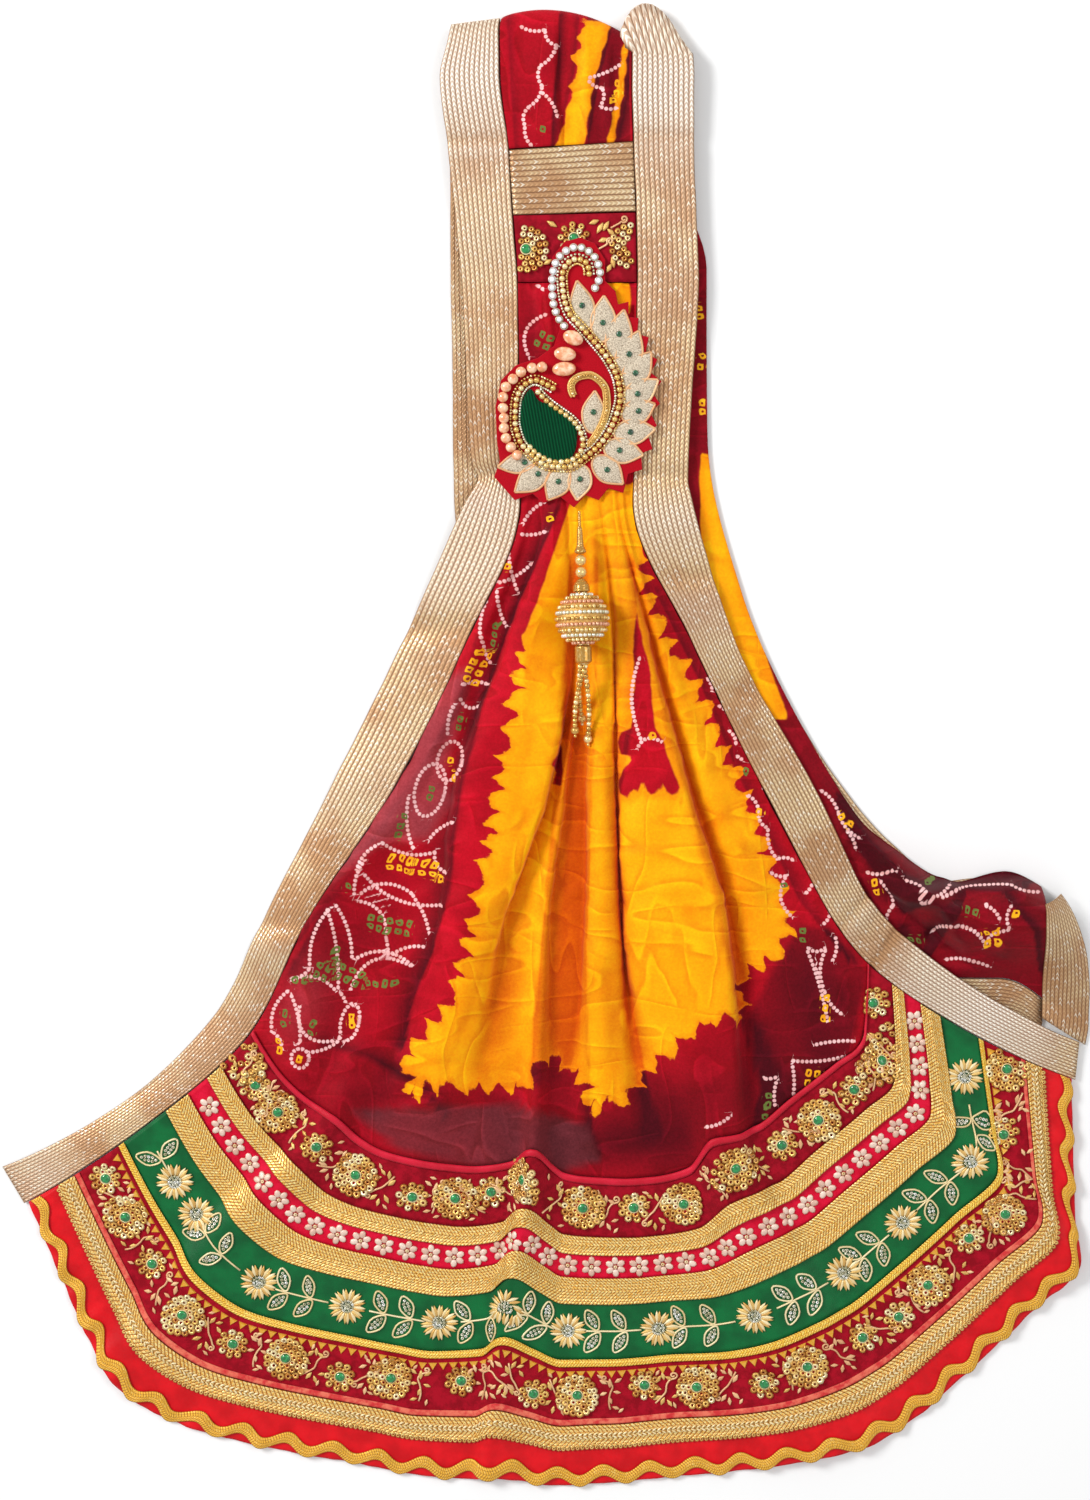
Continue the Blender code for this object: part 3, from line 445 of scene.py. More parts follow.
class Shader:
    def __init__(self, name, roughness=0.6, metallic=0.0):
        self.material = bpy.data.materials.new(name)
        self.material.use_nodes = True
        self.tree = self.material.node_tree
        self.out = self.tree.nodes["Principled BSDF"]
        self.set("Roughness", roughness).set("Metallic", metallic)

    def put(self, socket, value):
        if isinstance(value, Value):
            self.tree.links.new(value.socket, socket)
        else:
            socket.default_value = value

    def node(self, kind, *values, output=0, **settings):
        # values fill the node's inputs in order, and None leaves one as it is
        made = self.tree.nodes.new("ShaderNode" + kind)
        for label, setting in settings.items():
            setattr(made, label, setting)
        for socket, value in zip(made.inputs, values):
            if value is not None:
                self.put(socket, value)
        return Value(self, made.outputs[output])

    def calc(self, operation, *values):
        return self.node("Math", *values, operation=operation)

    def ramp(self, value, low, high):
        return self.node("MapRange", value, low, high, 0.0, 1.0, interpolation_type="SMOOTHSTEP")

    def blend(self, amount, first, second, mode="MIX"):
        colours = [value if isinstance(value, Value) else (*value, 1) for value in (first, second)]
        return self.node("Mix", amount, *[None] * 5, *colours, output=2, data_type="RGBA", blend_type=mode)

    def attribute(self, name, part="Vector"):
        return self.node("Attribute", attribute_name=name, output=part)

    def split(self, value, kind="XYZ"):
        return [Value(self, socket) for socket in self.node("Separate" + kind, value).socket.node.outputs]

    def place(self):
        # the object's own place in mm
        return self.node("VectorMath", self.node("TexCoord", output="Object"), None, None, 1000.0,
                operation="SCALE")

    def uv(self):
        return self.split(self.node("UVMap"))[:2]

    def noise(self, scale, vector=None, detail=3.0, rough=0.5):
        return self.node("TexNoise", vector or self.place(), None, scale, detail, rough)

    def stretched(self, wide, high, turn):
        # the object's place in mm, stretched and turned for marks that run one way
        return self.node("Mapping", self.place(), None, (0, 0, radians(turn)), (wide, high, 1))

    def bump(self, height, strength=0.3, distance=0.0004):
        normal = self.node("Bump", strength, distance)
        self.put(normal.socket.node.inputs["Height"], height)
        self.put(self.out.inputs["Normal"], normal)

    def wave(self, value, pitch):
        # 0 to 1 and back over each pitch
        return self.calc("PINGPONG", value, pitch / 2) / (pitch / 2)

    def colour(self, value):
        self.put(self.out.inputs["Base Color"], value if isinstance(value, Value) else (*value, 1))

    def set(self, socket, value):
        self.out.inputs[socket].default_value = value
        return self


def srgb(red, green, blue):
    values = np.array((red, green, blue)) / 255
    return tuple(np.where(values <= 0.04045, values / 12.92, ((values + 0.055) / 1.055) ** 2.4).tolist())


# Outline of the yellow field in picture places: down its left side, along its foot, up its right side.
fieldLeft = (
    (572,498), (556,546), (538,600), (522,640), (516,680), (506,735), (500,770), (492,815), (486,850),
    (480,880), (470,925), (462,960), (452,1000), (434,1022), (404,1052), (409,1100),
)
fieldFoot = (
    (428,1086), (470,1088), (520,1092), (531,1076), (545,1056), (562,1062), (585,1084), (586,1112), (622,1100),
    (640,1082), (650,1070), (684,1040), (712,1020), (744,1018), (742,976), (776,958),
)
fieldRight = (
    (792,930), (786,905), (779,880), (766,847), (753,810), (737,777), (718,735), (706,702), (688,672),
    (670,643), (655,610), (645,585), (643,540), (640,480),
)
flameOutline = (
    (637,612), (642,640), (650,668), (652,700), (655,728), (663,740), (668,758), (675,775), (680,788),
    (676,796), (667,793), (661,781), (656,795), (648,794), (643,780), (638,792), (632,789), (628,798),
    (620,793), (619,780), (624,768), (631,762), (630,756), (621,754), (617,744), (621,732), (631,728),
    (633,714), (631,700), (635,690), (633,650), (634,630),
)
smallFlame = ((558, 741), (563, 748), (563, 776), (561, 786), (552, 784), (557, 772), (550, 764), (557, 755))

# White dotted lines: start, end, sag to the left of the way from start to end, channel.
dotLines = (
    (522,526,547,501,4,0), (520,534,547,531,-2,1), (510,538,518,592,-4,2), (498,583,532,563,-3,0),
    (487,600,491,664,-9,1), (497,590,507,627,-3,2), (462,685,487,684,3,0), (459,697,480,706,-6,1),
    (456,701,447,735,-3,2), (410,792,413,848,-5,1), (427,843,455,822,4,0), (381,842,436,852,-7,2),
    (435,851,445,872,-5,0), (358,866,441,905,-14,1), (366,858,354,896,-4,0), (381,843,356,872,-5,1),
    (356,897,412,894,12,2), (412,894,430,934,2,0), (354,900,386,937,12,1), (335,904,352,961,5,2),
    (352,961,412,965,12,0), (386,938,388,958,1,1), (388,958,425,947,5,2), (333,905,310,968,-8,1),
    (310,968,291,978,3,0), (327,909,338,988,4,0), (291,980,337,992,9,1), (350,991,412,966,20,1),
    (289,990,272,1032,-7,2), (272,1032,282,1048,3,0), (300,1004,336,1040,-18,0), (291,994,300,1042,3,1),
    (306,1052,340,1040,-3,2), (340,992,346,1003,1,0), (370,795,366,812,1,0), (376,748,368,770,2,1),
    (400,714,392,735,2,2), (640,657,642,742,-9,0), (636,752,662,742,9,1), (676,602,690,610,2,0),
    (707,678,712,692,2,1), (718,706,726,712,2,2), (728,730,736,745,3,0), (736,756,744,764,2,1),
    (747,795,758,814,4,0), (758,814,768,828,-3,1), (768,828,777,859,-4,2), (777,859,794,860,2,0),
    (770,872,786,876,-2,1), (786,876,793,918,-9,2), (807,947,825,948,-4,0), (826,949,824,990,-5,1),
    (824,990,843,1015,-3,2), (807,950,828,1022,2,1), (810,1046,853,1041,2,0), (791,1060,846,1056,-3,1),
    (791,1060,793,1098,2,2), (764,1078,778,1076,-1,0), (778,1076,776,1110,-3,1), (705,1127,731,1115,-3,0),
    (835,936,832,961,3,0), (795,830,800,852,3,1), (812,870,806,893,4,2), (829,905,822,925,4,0),
    (757,770,764,790,3,2), (547,314,530,359,-14,0), (537,285,544,290,0,1),
)
# Closed dotted shapes: centre, half width, half height, turn in degrees, channel.
dotLoops = (
    (450,761,13,20,12,0), (430,790,15,27,14,2), (350,1022,9,19,12,2), (300,1058,9,10,0,1),
)
# Tied squares: centre, half width, half height, turn in degrees, 1 for yellow or -1 for green.
squarePatches = (
    (477,667,9,20,24,1), (450,761,5,5,0,1), (456,777,4,4,0,1), (401,863,13,8,8,1), (424,868,15,9,14,1),
    (441,880,5,5,0,1), (352,1016,4,4,0,1), (352,1025,4,4,0,1), (279,1046,5,9,-10,1), (300,1058,5,5,0,1),
    (551,518,5,5,0,1), (507,567,5,6,0,1), (495,634,6,15,10,-1), (461,722,5,12,12,-1), (431,793,6,11,12,-1),
    (400,826,7,15,12,-1), (347,887,4,6,0,-1), (390,925,24,11,10,-1), (336,955,5,12,0,-1), (322,972,9,11,20,-1),
    (350,975,13,8,25,-1), (381,983,17,7,-4,-1), (300,980,9,6,0,-1), (285,1018,5,9,0,-1), (312,1028,5,9,10,-1),
    (651,737,6,6,0,1), (803,935,4,9,0,-1), (825,1008,5,14,0,1), (814,1077,8,10,0,1), (767,1106,6,13,0,-1),
    (760,810,3,4,0,1), (784,885,4,6,0,-1), (745,772,3,5,0,-1), (544,341,9,9,24,-1),
)
# The same for the back and the upper panel.
backLines = (
    (520,26,545,30,-3,0), (545,30,557,46,-4,1), (556,46,540,66,3,2), (540,66,542,86,-3,0),
    (542,86,530,106,3,1), (530,106,525,126,-4,2), (525,126,532,146,-3,0), (541,92,557,116,3,2),
    (588,78,621,64,-2,0), (588,80,602,88,-2,1), (602,88,600,106,3,2), (600,106,616,108,-2,0),
    (866,872,900,868,-4,0), (880,880,893,905,4,1), (893,905,888,930,-4,2), (905,880,925,900,5,0),
    (925,900,950,884,-5,1), (940,900,1010,884,5,2), (1010,884,1040,892,-3,0), (930,935,960,925,4,1),
    (960,925,985,945,5,2), (985,945,1010,930,5,0), (1010,930,1012,905,4,1), (945,960,990,965,4,2),
    (820,790,838,812,3,0), (838,812,860,838,-4,1), (846,830,856,850,2,2), (985,905,1000,920,3,0),
)
backSquares = (
    (542,130,7,7,0,-1), (618,88,4,9,0,1), (613,100,3,3,0,1), (876,887,7,12,-20,1), (992,938,10,8,-10,1),
    (970,912,9,6,10,-1), (700,312,4,9,0,1), (701,362,4,9,0,1), (702,408,4,12,0,1), (915,940,9,7,0,-1),
    (845,820,12,3,45,1), (930,880,6,5,0,-1), (1015,915,4,6,0,1),
)


def sagCurve(x0, y0, x1, y1, sag):
    t = np.linspace(0, 1, 11)[:, None]
    start, end = np.array((x0, y0), float), np.array((x1, y1), float)
    side = unit(np.array((end[1] - start[1], start[0] - end[0])))
    return start * (1 - t) + end * t + side * sag * 4 * t * (1 - t)


def loopCurve(x, y, halfWidth, halfHeight, turn):
    t = np.linspace(0, tau, 25)
    a = radians(turn)
    u, v = np.cos(t) * halfWidth, np.sin(t) * halfHeight
    return np.stack((x + u * cos(a) - v * sin(a), y + u * sin(a) + v * cos(a)), -1)


def lineDistance(spots, line):
    # signed distance to a line, distance along it and how far past its ends
    starts, steps = line[:-1], np.diff(line, axis=0)
    lengths = np.maximum(np.linalg.norm(steps, axis=1), 1e-6)
    offset = spots[:, None] - starts
    share = (offset * steps).sum(-1) / lengths**2
    inside = share.clip(0, 1)
    away = offset - inside[..., None] * steps
    distance = np.linalg.norm(away, axis=-1)
    nearest = distance.argmin(axis=1)
    pick = nearest[:, None]
    take = lambda values: np.take_along_axis(values, pick, 1)[:, 0]
    side = np.sign(take(steps[None, :, 0] * offset[..., 1] - steps[None, :, 1] * offset[..., 0]))
    before = np.concatenate(([0], np.cumsum(lengths)))[nearest]
    along = before + take(inside) * lengths[nearest]
    past = np.maximum(take(share) - 1, -take(share)) * lengths[nearest]
    return take(distance) * side, along, past


def dottedFields(spots, lines, loops):
    # one vector for each channel: signed distance, distance along and closeness to a dotted line
    nothing = np.zeros(len(spots))
    fields = [np.stack((nothing + 99.0, nothing, nothing), -1) for _ in range(3)]
    every = [(sagCurve(*row[:5]), row[5]) for row in lines]
    every += [(loopCurve(*row[:5]), row[5]) for row in loops]
    for line, channel in every:
        low, high = line.min(axis=0) - 14, line.max(axis=0) + 14
        close = np.nonzero(((spots > low) & (spots < high)).all(axis=1))[0]
        if len(close) == 0:
            continue
        distance, along, past = lineDistance(spots[close], line)
        field = fields[channel]
        better = (abs(distance) < abs(field[close, 0])) & (past < 3)
        field[close[better], 0] = distance[better]
        field[close[better], 1] = along[better]
        field[close[better], 2] = np.clip((8 - abs(distance[better])) / 3, 0, 1)
    return fields


def squareField(spots, patches):
    # place in the nearest grid of tied squares, the distance outside it, and 1 for yellow or 0 for green
    field = np.tile((0.0, 0.0, 99.0), (len(spots), 1))
    hues = np.zeros(len(spots))
    for x, y, halfWidth, halfHeight, turn, kind in patches:
        a = radians(turn)
        across, down = max(round(halfWidth / 4.8), 1), max(round(halfHeight / 4.8), 1)
        dx, dy = spots[:, 0] - x, spots[:, 1] - y
        u, v = dx * cos(a) + dy * sin(a), dy * cos(a) - dx * sin(a)
        outside = np.maximum(abs(u) - across * 4.8, abs(v) - down * 4.8)
        # an even number of rows or columns has a gap in the middle
        u, v = u + (0.0 if across % 2 else 4.8), v + (0.0 if down % 2 else 4.8)
        better = outside < field[:, 2]
        field[better] = np.stack((u, v, outside), -1)[better]
        hues[better] = kind > 0
    field[:, 2] = field[:, 2].clip(-20, 12)
    return field, hues


def areaDistance(spots, outline):
    # distance to a closed outline, below 0 inside it, and the distance along it
    closed = np.array(outline + outline[:1], float)
    distance, along, _ = lineDistance(spots, closed)
    inside = np.zeros(len(spots), bool)
    for (x0, y0), (x1, y1) in zip(closed[:-1], closed[1:]):
        crosses = ((y0 > spots[:, 1]) != (y1 > spots[:, 1]))
        inside ^= crosses & (spots[:, 0] < (x1 - x0) * (spots[:, 1] - y0) / ((y1 - y0) or 1e-9) + x0)
    return np.where(inside, -abs(distance), abs(distance)), along


def softSpot(spots, x, y, halfWidth, halfHeight, turn=0):
    a = radians(turn)
    dx, dy = spots[..., 0] - x, spots[..., 1] - y
    u = (dx * cos(a) + dy * sin(a)) / halfWidth
    v = (dy * cos(a) - dx * sin(a)) / halfHeight
    return np.exp(-(u**2 + v**2))


def addWrinkles(points, normals, spots, table):
    # low soft ridges: middle, half length, half width, turn in degrees, height in mm
    lift = np.zeros(points.shape[:2])
    for *spot, height in table:
        lift += height * softSpot(spots, *spot)
    return points + normals * lift[..., None]


frontWrinkles = (
    (655,852,40,5,-6,1.2), (705,902,40,5,-16,1.3), (660,935,34,4,-18,1.0), (735,846,36,5,-4,1.1),
    (750,890,30,5,6,0.9), (765,908,26,4,-6,0.9), (540,690,26,4,10,0.7), (548,730,26,4,-8,0.8),
    (600,690,18,4,6,0.7), (604,720,18,4,-6,0.7), (500,620,20,4,30,0.6), (475,800,22,5,20,0.9),
    (470,845,24,5,14,1.0), (455,905,26,6,24,1.2), (440,940,24,5,36,1.0), (520,890,34,5,-22,1.1),
    (500,940,34,5,-30,1.1), (480,1000,30,5,-34,1.0), (560,950,24,5,-6,0.7), (560,1010,26,5,6,0.7),
    (605,850,18,4,4,0.7), (610,950,20,4,-8,0.8), (700,800,26,4,-14,0.9), (720,1000,24,4,-10,0.9),
    (700,1080,40,7,-12,1.6), (380,1060,50,6,-12,1.5), (360,1090,44,6,-6,1.4), (340,1020,26,5,20,0.8),
    (330,940,20,4,60,0.8), (400,1105,40,5,4,1.2), (395,760,20,4,70,0.8), (355,850,24,4,60,0.9),
    (310,930,24,4,58,0.9), (470,1130,50,5,2,0.7), (620,1140,40,5,-2,0.7),
)
print("pattern tables ready")


def clothShader(name):
    s = Shader(name, 0.62)
    grain = s.noise(2.2, detail=4, rough=0.6)
    patch = s.noise(0.03, detail=3)
    sheer, shade, valleyShade = s.split(s.attribute("tint", "Color"), "Color")[:3]
    crimson = s.blend(s.ramp(patch, 0.35, 0.7), srgb(166, 4, 26), srgb(190, 8, 32))
    # the second tint darkens the red towards maroon: in the darker areas, and with painted shade in the creases and
    # painted shadow beside the pleat edges
    red = s.blend(shade, crimson, srgb(74, 4, 18))
    red = s.blend(sheer * 0.5, red, srgb(150, 80, 88))
    ragged = s.noise(0.09, detail=4, rough=0.65)
    field = s.split(s.attribute("field"))
    beat = field[1] + (s.noise(0.03, detail=2) - 0.5) * 36.0
    tooth = (s.wave(beat, 24.0) - 0.5) * 15.0
    fine = (s.wave(beat, 11.0) - 0.5) * 4.0
    tooth = tooth + fine
    rough = (ragged - 0.5) * 16.0
    reach = field[0] + (tooth + rough) * field[2]
    yellowHere = s.ramp(reach, 1.2, -1.2)
    rim = s.ramp(reach, 5.0, -3.0)
    yellow = s.blend(s.ramp(patch, 0.3, 0.75), srgb(252, 164, 2), srgb(255, 182, 8))
    # painted shade in the valleys between the pleats darkens the yellow to deep orange
    yellow = s.blend(valleyShade, yellow, srgb(204, 84, 0))
    yellow = s.blend(s.ramp(reach, -9.0, -1.0) * 0.5, yellow, srgb(240, 130, 0))
    cloth = s.blend(yellowHere, s.blend(rim * 0.35, red, srgb(150, 10, 20)), yellow)
    dots = None
    for label in ("dotA", "dotB", "dotC"):
        parts = s.split(s.attribute(label))
        step = (parts[1] / 4.5).fract() - 0.5
        step = step * 4.5
        squared = step * step + parts[0] * parts[0]
        radius = squared.sqrt() + (grain - 0.5) * 1.0
        dot = s.ramp(radius, 2.25, 1.5) * s.ramp(parts[2], 0.4, 0.9)
        dots = dot if dots is None else s.calc("MAXIMUM", dots, dot)
    cloth = s.blend(dots * 0.92, cloth, srgb(246, 196, 196))
    square = s.split(s.attribute("square"))
    wobble = (s.noise(0.09, detail=2) - 0.5) * 11.0
    square = [square[0] + wobble, square[1] - wobble, square[2]]
    rowNumber = (square[1] / 9.6 + 0.5).floor()
    stagger = (rowNumber * 2.1).sine() * 0.09
    cells = [abs((square[axis] / 9.6 + offset).fract() - 0.5)
             for axis, offset in ((0, stagger + 0.5), (1, 0.5))]
    rounded = (cells[0] * cells[0] + cells[1] * cells[1]).sqrt()
    cell = s.calc("MAXIMUM", cells[0], cells[1]) * 0.6 + rounded * 0.4
    cell = cell + (grain - 0.5) * 0.16
    ring = s.ramp(cell, 0.1, 0.15) * s.ramp(cell, 0.38, 0.32)
    strength = ring * s.ramp(square[2], 0.9, 0.2)
    hue = s.blend(s.attribute("tint", "Alpha"), srgb(104, 122, 58), srgb(250, 182, 30))
    cloth = s.blend(strength, cloth, hue)
    # sharp little creases: lit on one side, shaded on the other
    lit = shaded = None
    for scale, wide, high, turn in ((0.012, 1.0, 3.6, 12), (0.014, 1.0, 3.2, -20), (0.016, 3.2, 1.0, 8)):
        side = s.noise(scale, s.stretched(wide, high, turn), detail=0.6) - 0.5
        where = s.ramp(s.noise(0.02, s.stretched(1.0, 1.0, turn * 3), detail=1), 0.44, 0.58)
        above = s.ramp(side, 0.09, 0.0) * s.ramp(side, -0.012, 0.004) * where
        below = s.ramp(side, -0.07, 0.0) * s.ramp(side, 0.012, -0.004) * where
        shaded = above if shaded is None else s.calc("MAXIMUM", shaded, above)
        lit = below if lit is None else s.calc("MAXIMUM", lit, below)
    cloth = s.blend(shaded * 0.42, cloth, (0.74, 0.42, 0.32), "MULTIPLY")
    cloth = s.blend(lit * 0.45, cloth, (1.0, 1.0, 1.0), "SOFT_LIGHT")
    slub = s.noise(0.5, detail=6, rough=0.8)
    cloth = s.blend(0.3, cloth, s.blend(s.ramp(slub, 0.3, 0.7), (0.05, 0.0, 0.0), (0.9, 0.8, 0.75)),
            "SOFT_LIGHT")
    cloth = s.blend(0.16, cloth, s.blend(grain, (0.02, 0.0, 0.0), (1.0, 0.85, 0.8)), "SOFT_LIGHT")
    s.colour(cloth)
    s.set("Sheen Weight", 0.06).set("Sheen Roughness", 0.45).set("Specular IOR Level", 0.08)
    place = s.split(s.place())
    threads = (place[0] * 9.0).sine() * (place[1] * 9.0).sine()
    crepe = threads * 0.3 + s.noise(0.9, detail=5, rough=0.7)
    crepe = crepe + (lit - shaded) * 1.6
    s.bump(crepe, 0.25, 0.0005)
    return s.material


def uvGrid(across, along):
    # texture places of a grid of points
    return np.stack(np.broadcast_arrays(across[None], along[:, None]), -1)


def cavity(points, reach):
    # how far each point lies below its neighbours across the cloth
    height = points[..., 2]
    wide = np.pad(height, ((0, 0), (reach, reach)), mode="edge")
    total = np.cumsum(np.pad(wide, ((0, 0), (1, 0))), axis=1)
    mean = (total[:, 2 * reach + 1:] - total[:, :-2 * reach - 1]) / (2 * reach + 1)
    return mean - height


frontSize = {"flat": (0.58, 0.58), "area": 0.2, "columnsPerFold": 7, "rows": 150, "thick": 0.6}
# Shaded valleys between the pleats in picture places: middle, half width, half height, turn, depth of the shade
valleys = (
    (572,760,7,120,-3,0.75), (574,940,13,130,3,0.6), (560,1010,24,60,6,0.35), (622,900,6,120,-6,0.6),
    (612,1030,10,60,-6,0.4), (500,1000,20,90,22,0.35), (576,600,4,60,2,0.5), (646,640,5,80,-10,0.5),
    (700,830,10,90,-22,0.25), (750,900,14,60,-12,0.25), (735,960,8,40,-20,0.4), (596,560,3,50,0,0.4),
    (620,600,4,60,-6,0.35),
)
# Edges of pleats that shade the cloth beside them: side (1 is to the right of the way down), reach, strength, line.
pleatShadows = (
    (-1, 15, 0.9, (560,505), (520,600), (497,660), (478,720), (462,790), (455,840), (447,900), (433,950),
     (412,1000), (404,1045)), (1, 26, 0.75, (570,560), (567,640), (561,740), (550,860), (539,980), (531,1080)),
    (-1, 9, 0.55, (598,560), (597,640), (592,780), (588,900), (586,1000), (590,1100)),
    (-1, 11, 0.7, (634,560), (636,640), (632,720), (619,800), (617,900), (625,980), (645,1080), (660,1130)),
    (1, 12, 0.55, (640,560), (650,640), (668,740), (690,800), (708,880), (728,960), (744,1030), (762,1090)),
    (-1, 12, 0.3, (540,620), (530,760), (505,900), (470,1010), (440,1085)),
    (1, 14, 0.6, (752,1030), (764,1080), (752,1130), (720,1150)),
    (-1, 9, 0.5, (588,1100), (592,1130), (600,1150)),
    (1, 12, 0.6, (320,1045), (380,1062), (420,1085), (440,1112)),
    (-1, 10, 0.4, (470,690), (440,740), (400,800), (350,868), (300,940)),
    (1, 8, 0.5, (487,600), (462,690), (425,760), (380,830), (330,900), (290,970)),
    (1, 10, 0.6, (655,590), (700,680), (742,780), (800,900), (850,960)),
)
heapTop = ((838, 800), (851, 836), (870, 859), (885, 878), (920, 893), (958, 889), (1003, 889), (1026, 885))
heapShadows = (
    (1, 14, 1.0, *heapTop), (-1, 4, 0.9, *heapTop), (1, 10, 0.8, (885,885), (904,912), (927,901), (939,889)),
    (-1, 12, 0.7, (965,897), (939,942), (923,965)), (1, 9, 0.7, (900,930), (915,960), (935,985), (950,1000)),
    (1, 8, 0.6, (1000,890), (1035,930), (1040,970)), (-1, 10, 0.8, (800,780), (830,830), (850,870), (870,900)),
)
heapWrinkles = (
    (900,868,26,9,25,3.5), (960,873,34,9,0,4.0), (1012,872,20,9,-8,3.0), (905,892,26,6,20,-3.5),
    (965,892,34,6,-2,-3.5), (932,932,26,6,118,2.6), (985,930,26,6,60,2.2), (1005,960,24,6,20,1.8),
    (955,985,24,6,40,1.8),
)
panelShadows = (
    (1, 7, 0.9, (560,15), (558,60), (554,100), (552,150)),
    (-1, 6, 0.7, (612,20), (600,70), (592,110), (586,150)), (1, 6, 0.9, (630,35), (624,90), (612,150)),
    (-1, 5, 0.6, (578,18), (574,70), (560,130)), (1, 5, 0.5, (508,20), (512,90), (516,150)),
)


def shadowOf(spots, table):
    # shade beside the edges of pleats, strongest at the edge
    shade = np.zeros(spots.shape[:2])
    flat = spots.reshape(-1, 2)
    for side, reach, strength, *line in table:
        distance, _, past = lineDistance(flat, np.array(line, float))
        beside = distance * -side
        near, far = np.exp(-(beside / 1.5) ** 2), np.exp(-(beside.clip(0, None) / reach) ** 1.5)
        found = np.where(beside > 0, far, near)
        shade = np.maximum(shade, (found * strength * (1 - np.clip(past / 12, 0, 1))).reshape(shade.shape))
    return shade


def dyeAndShadeValues(spots, field, patterns, tints):
    # what the cloth's material reads at each point: the yellow field, dots, tied squares and tints, among them
    # painted shade
    flat = spots.reshape(-1, 2)
    lines, loops, patches = patterns
    dotted = dottedFields(flat, lines, loops)
    squares, hues = squareField(flat, patches)
    return {"field": np.stack(field, -1), "dotA": dotted[0], "dotB": dotted[1], "dotC": dotted[2],
            "square": squares,
            "tint": np.column_stack([tint.ravel() for tint in tints] + [hues])}


gatherYellow = ((604, 280), (627, 280), (630, 298), (629, 314), (614, 318), (607, 300))
sheerArea = (
    (470,668), (454,735), (442,775), (450,800), (428,838), (378,843), (345,870), (326,884), (368,806),
    (392,762), (418,716), (440,682),
)
footSheer = (
    (352,1110), (420,1108), (520,1106), (588,1128), (600,1160), (560,1172), (480,1168), (400,1150),
)
darkArea = (
    (800,925), (830,930), (868,970), (850,1055), (790,1110), (766,1110), (760,1060), (748,1020), (772,970),
)
darkSpots = (
    (700,1090,70,46,-10,0.25), (380,1075,60,34,10,0.3), (620,1140,70,26,0,0.5), (330,960,60,90,20,0.45),
    (815,1000,40,80,-24,0.4), (540,560,24,60,20,0.1), (720,680,16,130,-28,0.5), (530,330,20,60,0,0.55),
)


def makeFrontCloth():
    columns = np.linspace(0, lastColumn, lastColumn * frontSize["columnsPerFold"] + 1)
    places = np.linspace(border - 1.8, seam - 0.3, frontSize["rows"])
    points, normals = frontSheet(columns, places)
    spots = picturePlace(points)
    points = addWrinkles(points, normals, spots, frontWrinkles)
    x, y = spots[..., 0], spots[..., 1]
    ripple = noise2(x / 11, y / 19, 3) * 0.35 + noise2(x / 34, y / 27, 5) * 0.5
    ripple += (0.5 - abs(noise2(x / 26 + y / 60, y / 22, 6))) * 1.1
    ripple += (0.5 - abs(noise2(x / 40 - y / 70, y / 13, 7))) * 0.7
    fade = np.interp(places, (border, border + 25, hip, waist, seam), (0, 1.5, 1.2, 0.5, 0.15))[:, None]
    points = points + normals * (ripple * fade)[..., None]
    points[..., 2] = np.maximum(points[..., 2], 0.9)
    flat = spots.reshape(-1, 2)
    outline = fieldLeft + fieldFoot + fieldRight
    fieldDistance, fieldAlong = areaDistance(flat, outline)
    gatherDistance = areaDistance(flat, gatherYellow)[0]
    swap = gatherDistance < fieldDistance
    fieldDistance = np.where(swap, gatherDistance, fieldDistance)
    # no teeth where the colour changes on the edge of a fold
    toothed = np.interp(flat[:, 1], (630, 665), (0.05, 1.0)) + (flat[:, 0] > 600)
    toothed = np.clip(toothed, 0, 1) * np.where(flat[:, 1] < 560, 0.2, 1.0)
    for inner in (flameOutline, smallFlame):
        innerDistance, innerAlong = areaDistance(flat, inner)
        swap = -innerDistance > fieldDistance
        fieldDistance = np.where(swap, -innerDistance, fieldDistance)
        fieldAlong = np.where(swap, innerAlong * 1.3, fieldAlong)
        toothed = np.where(swap, 0.04, toothed)
    below = cavity(points, 12)
    soft = lambda outline, reach: np.clip(0.5 - areaDistance(flat, outline)[0].reshape(x.shape) / reach, 0, 1)
    foot = soft(footSheer, 6)
    sheer = (soft(sheerArea, 12) + foot * 0.42 + softSpot(spots, 300, 1005, 22, 44, 20) * 0.45).clip(0, 1)
    # darker areas, darker towards the bottom, and painted shade showing through the sheer foot
    dark = soft(darkArea, 7) * 0.5 + np.clip((y - 1035) / 60, 0, 1) * 0.34 + foot * 0.4
    for *spot, amount in darkSpots:
        dark = dark + softSpot(spots, *spot) * amount
    dark = dark.clip(0, 1)
    # painted shade in the creases and painted shadow beside the pleat edges
    crease = (below / 9).clip(0, 1)
    shadow = shadowOf(spots, pleatShadows)
    # painted shade in the valleys between the pleats, which darkens the yellow
    valleyShade = crease * 0.9 + shadow * 0.85
    for *spot, amount in valleys:
        valleyShade = valleyShade + softSpot(spots, *spot) * amount
    valleyShade = valleyShade.clip(0, 1)
    values = dyeAndShadeValues(spots, (fieldDistance, fieldAlong, toothed), (dotLines, dotLoops, squarePatches),
                       (sheer, (dark + crease * 0.35 + shadow * 0.9).clip(0, 1), valleyShade))
    uv = uvGrid(columns * 44 * mm, places * mm)
    piece = addGrid("frontCloth", points, frontSize["thick"], -1.0, uv, values)
    # the cloth's material paints the dye pattern, painted shade from the tints, and lit and shaded creases
    return finishPiece(piece, clothShader("dyed georgette with painted shade"), ("front_cloth",))


frontCloth = makeFrontCloth()
print("front cloth done")

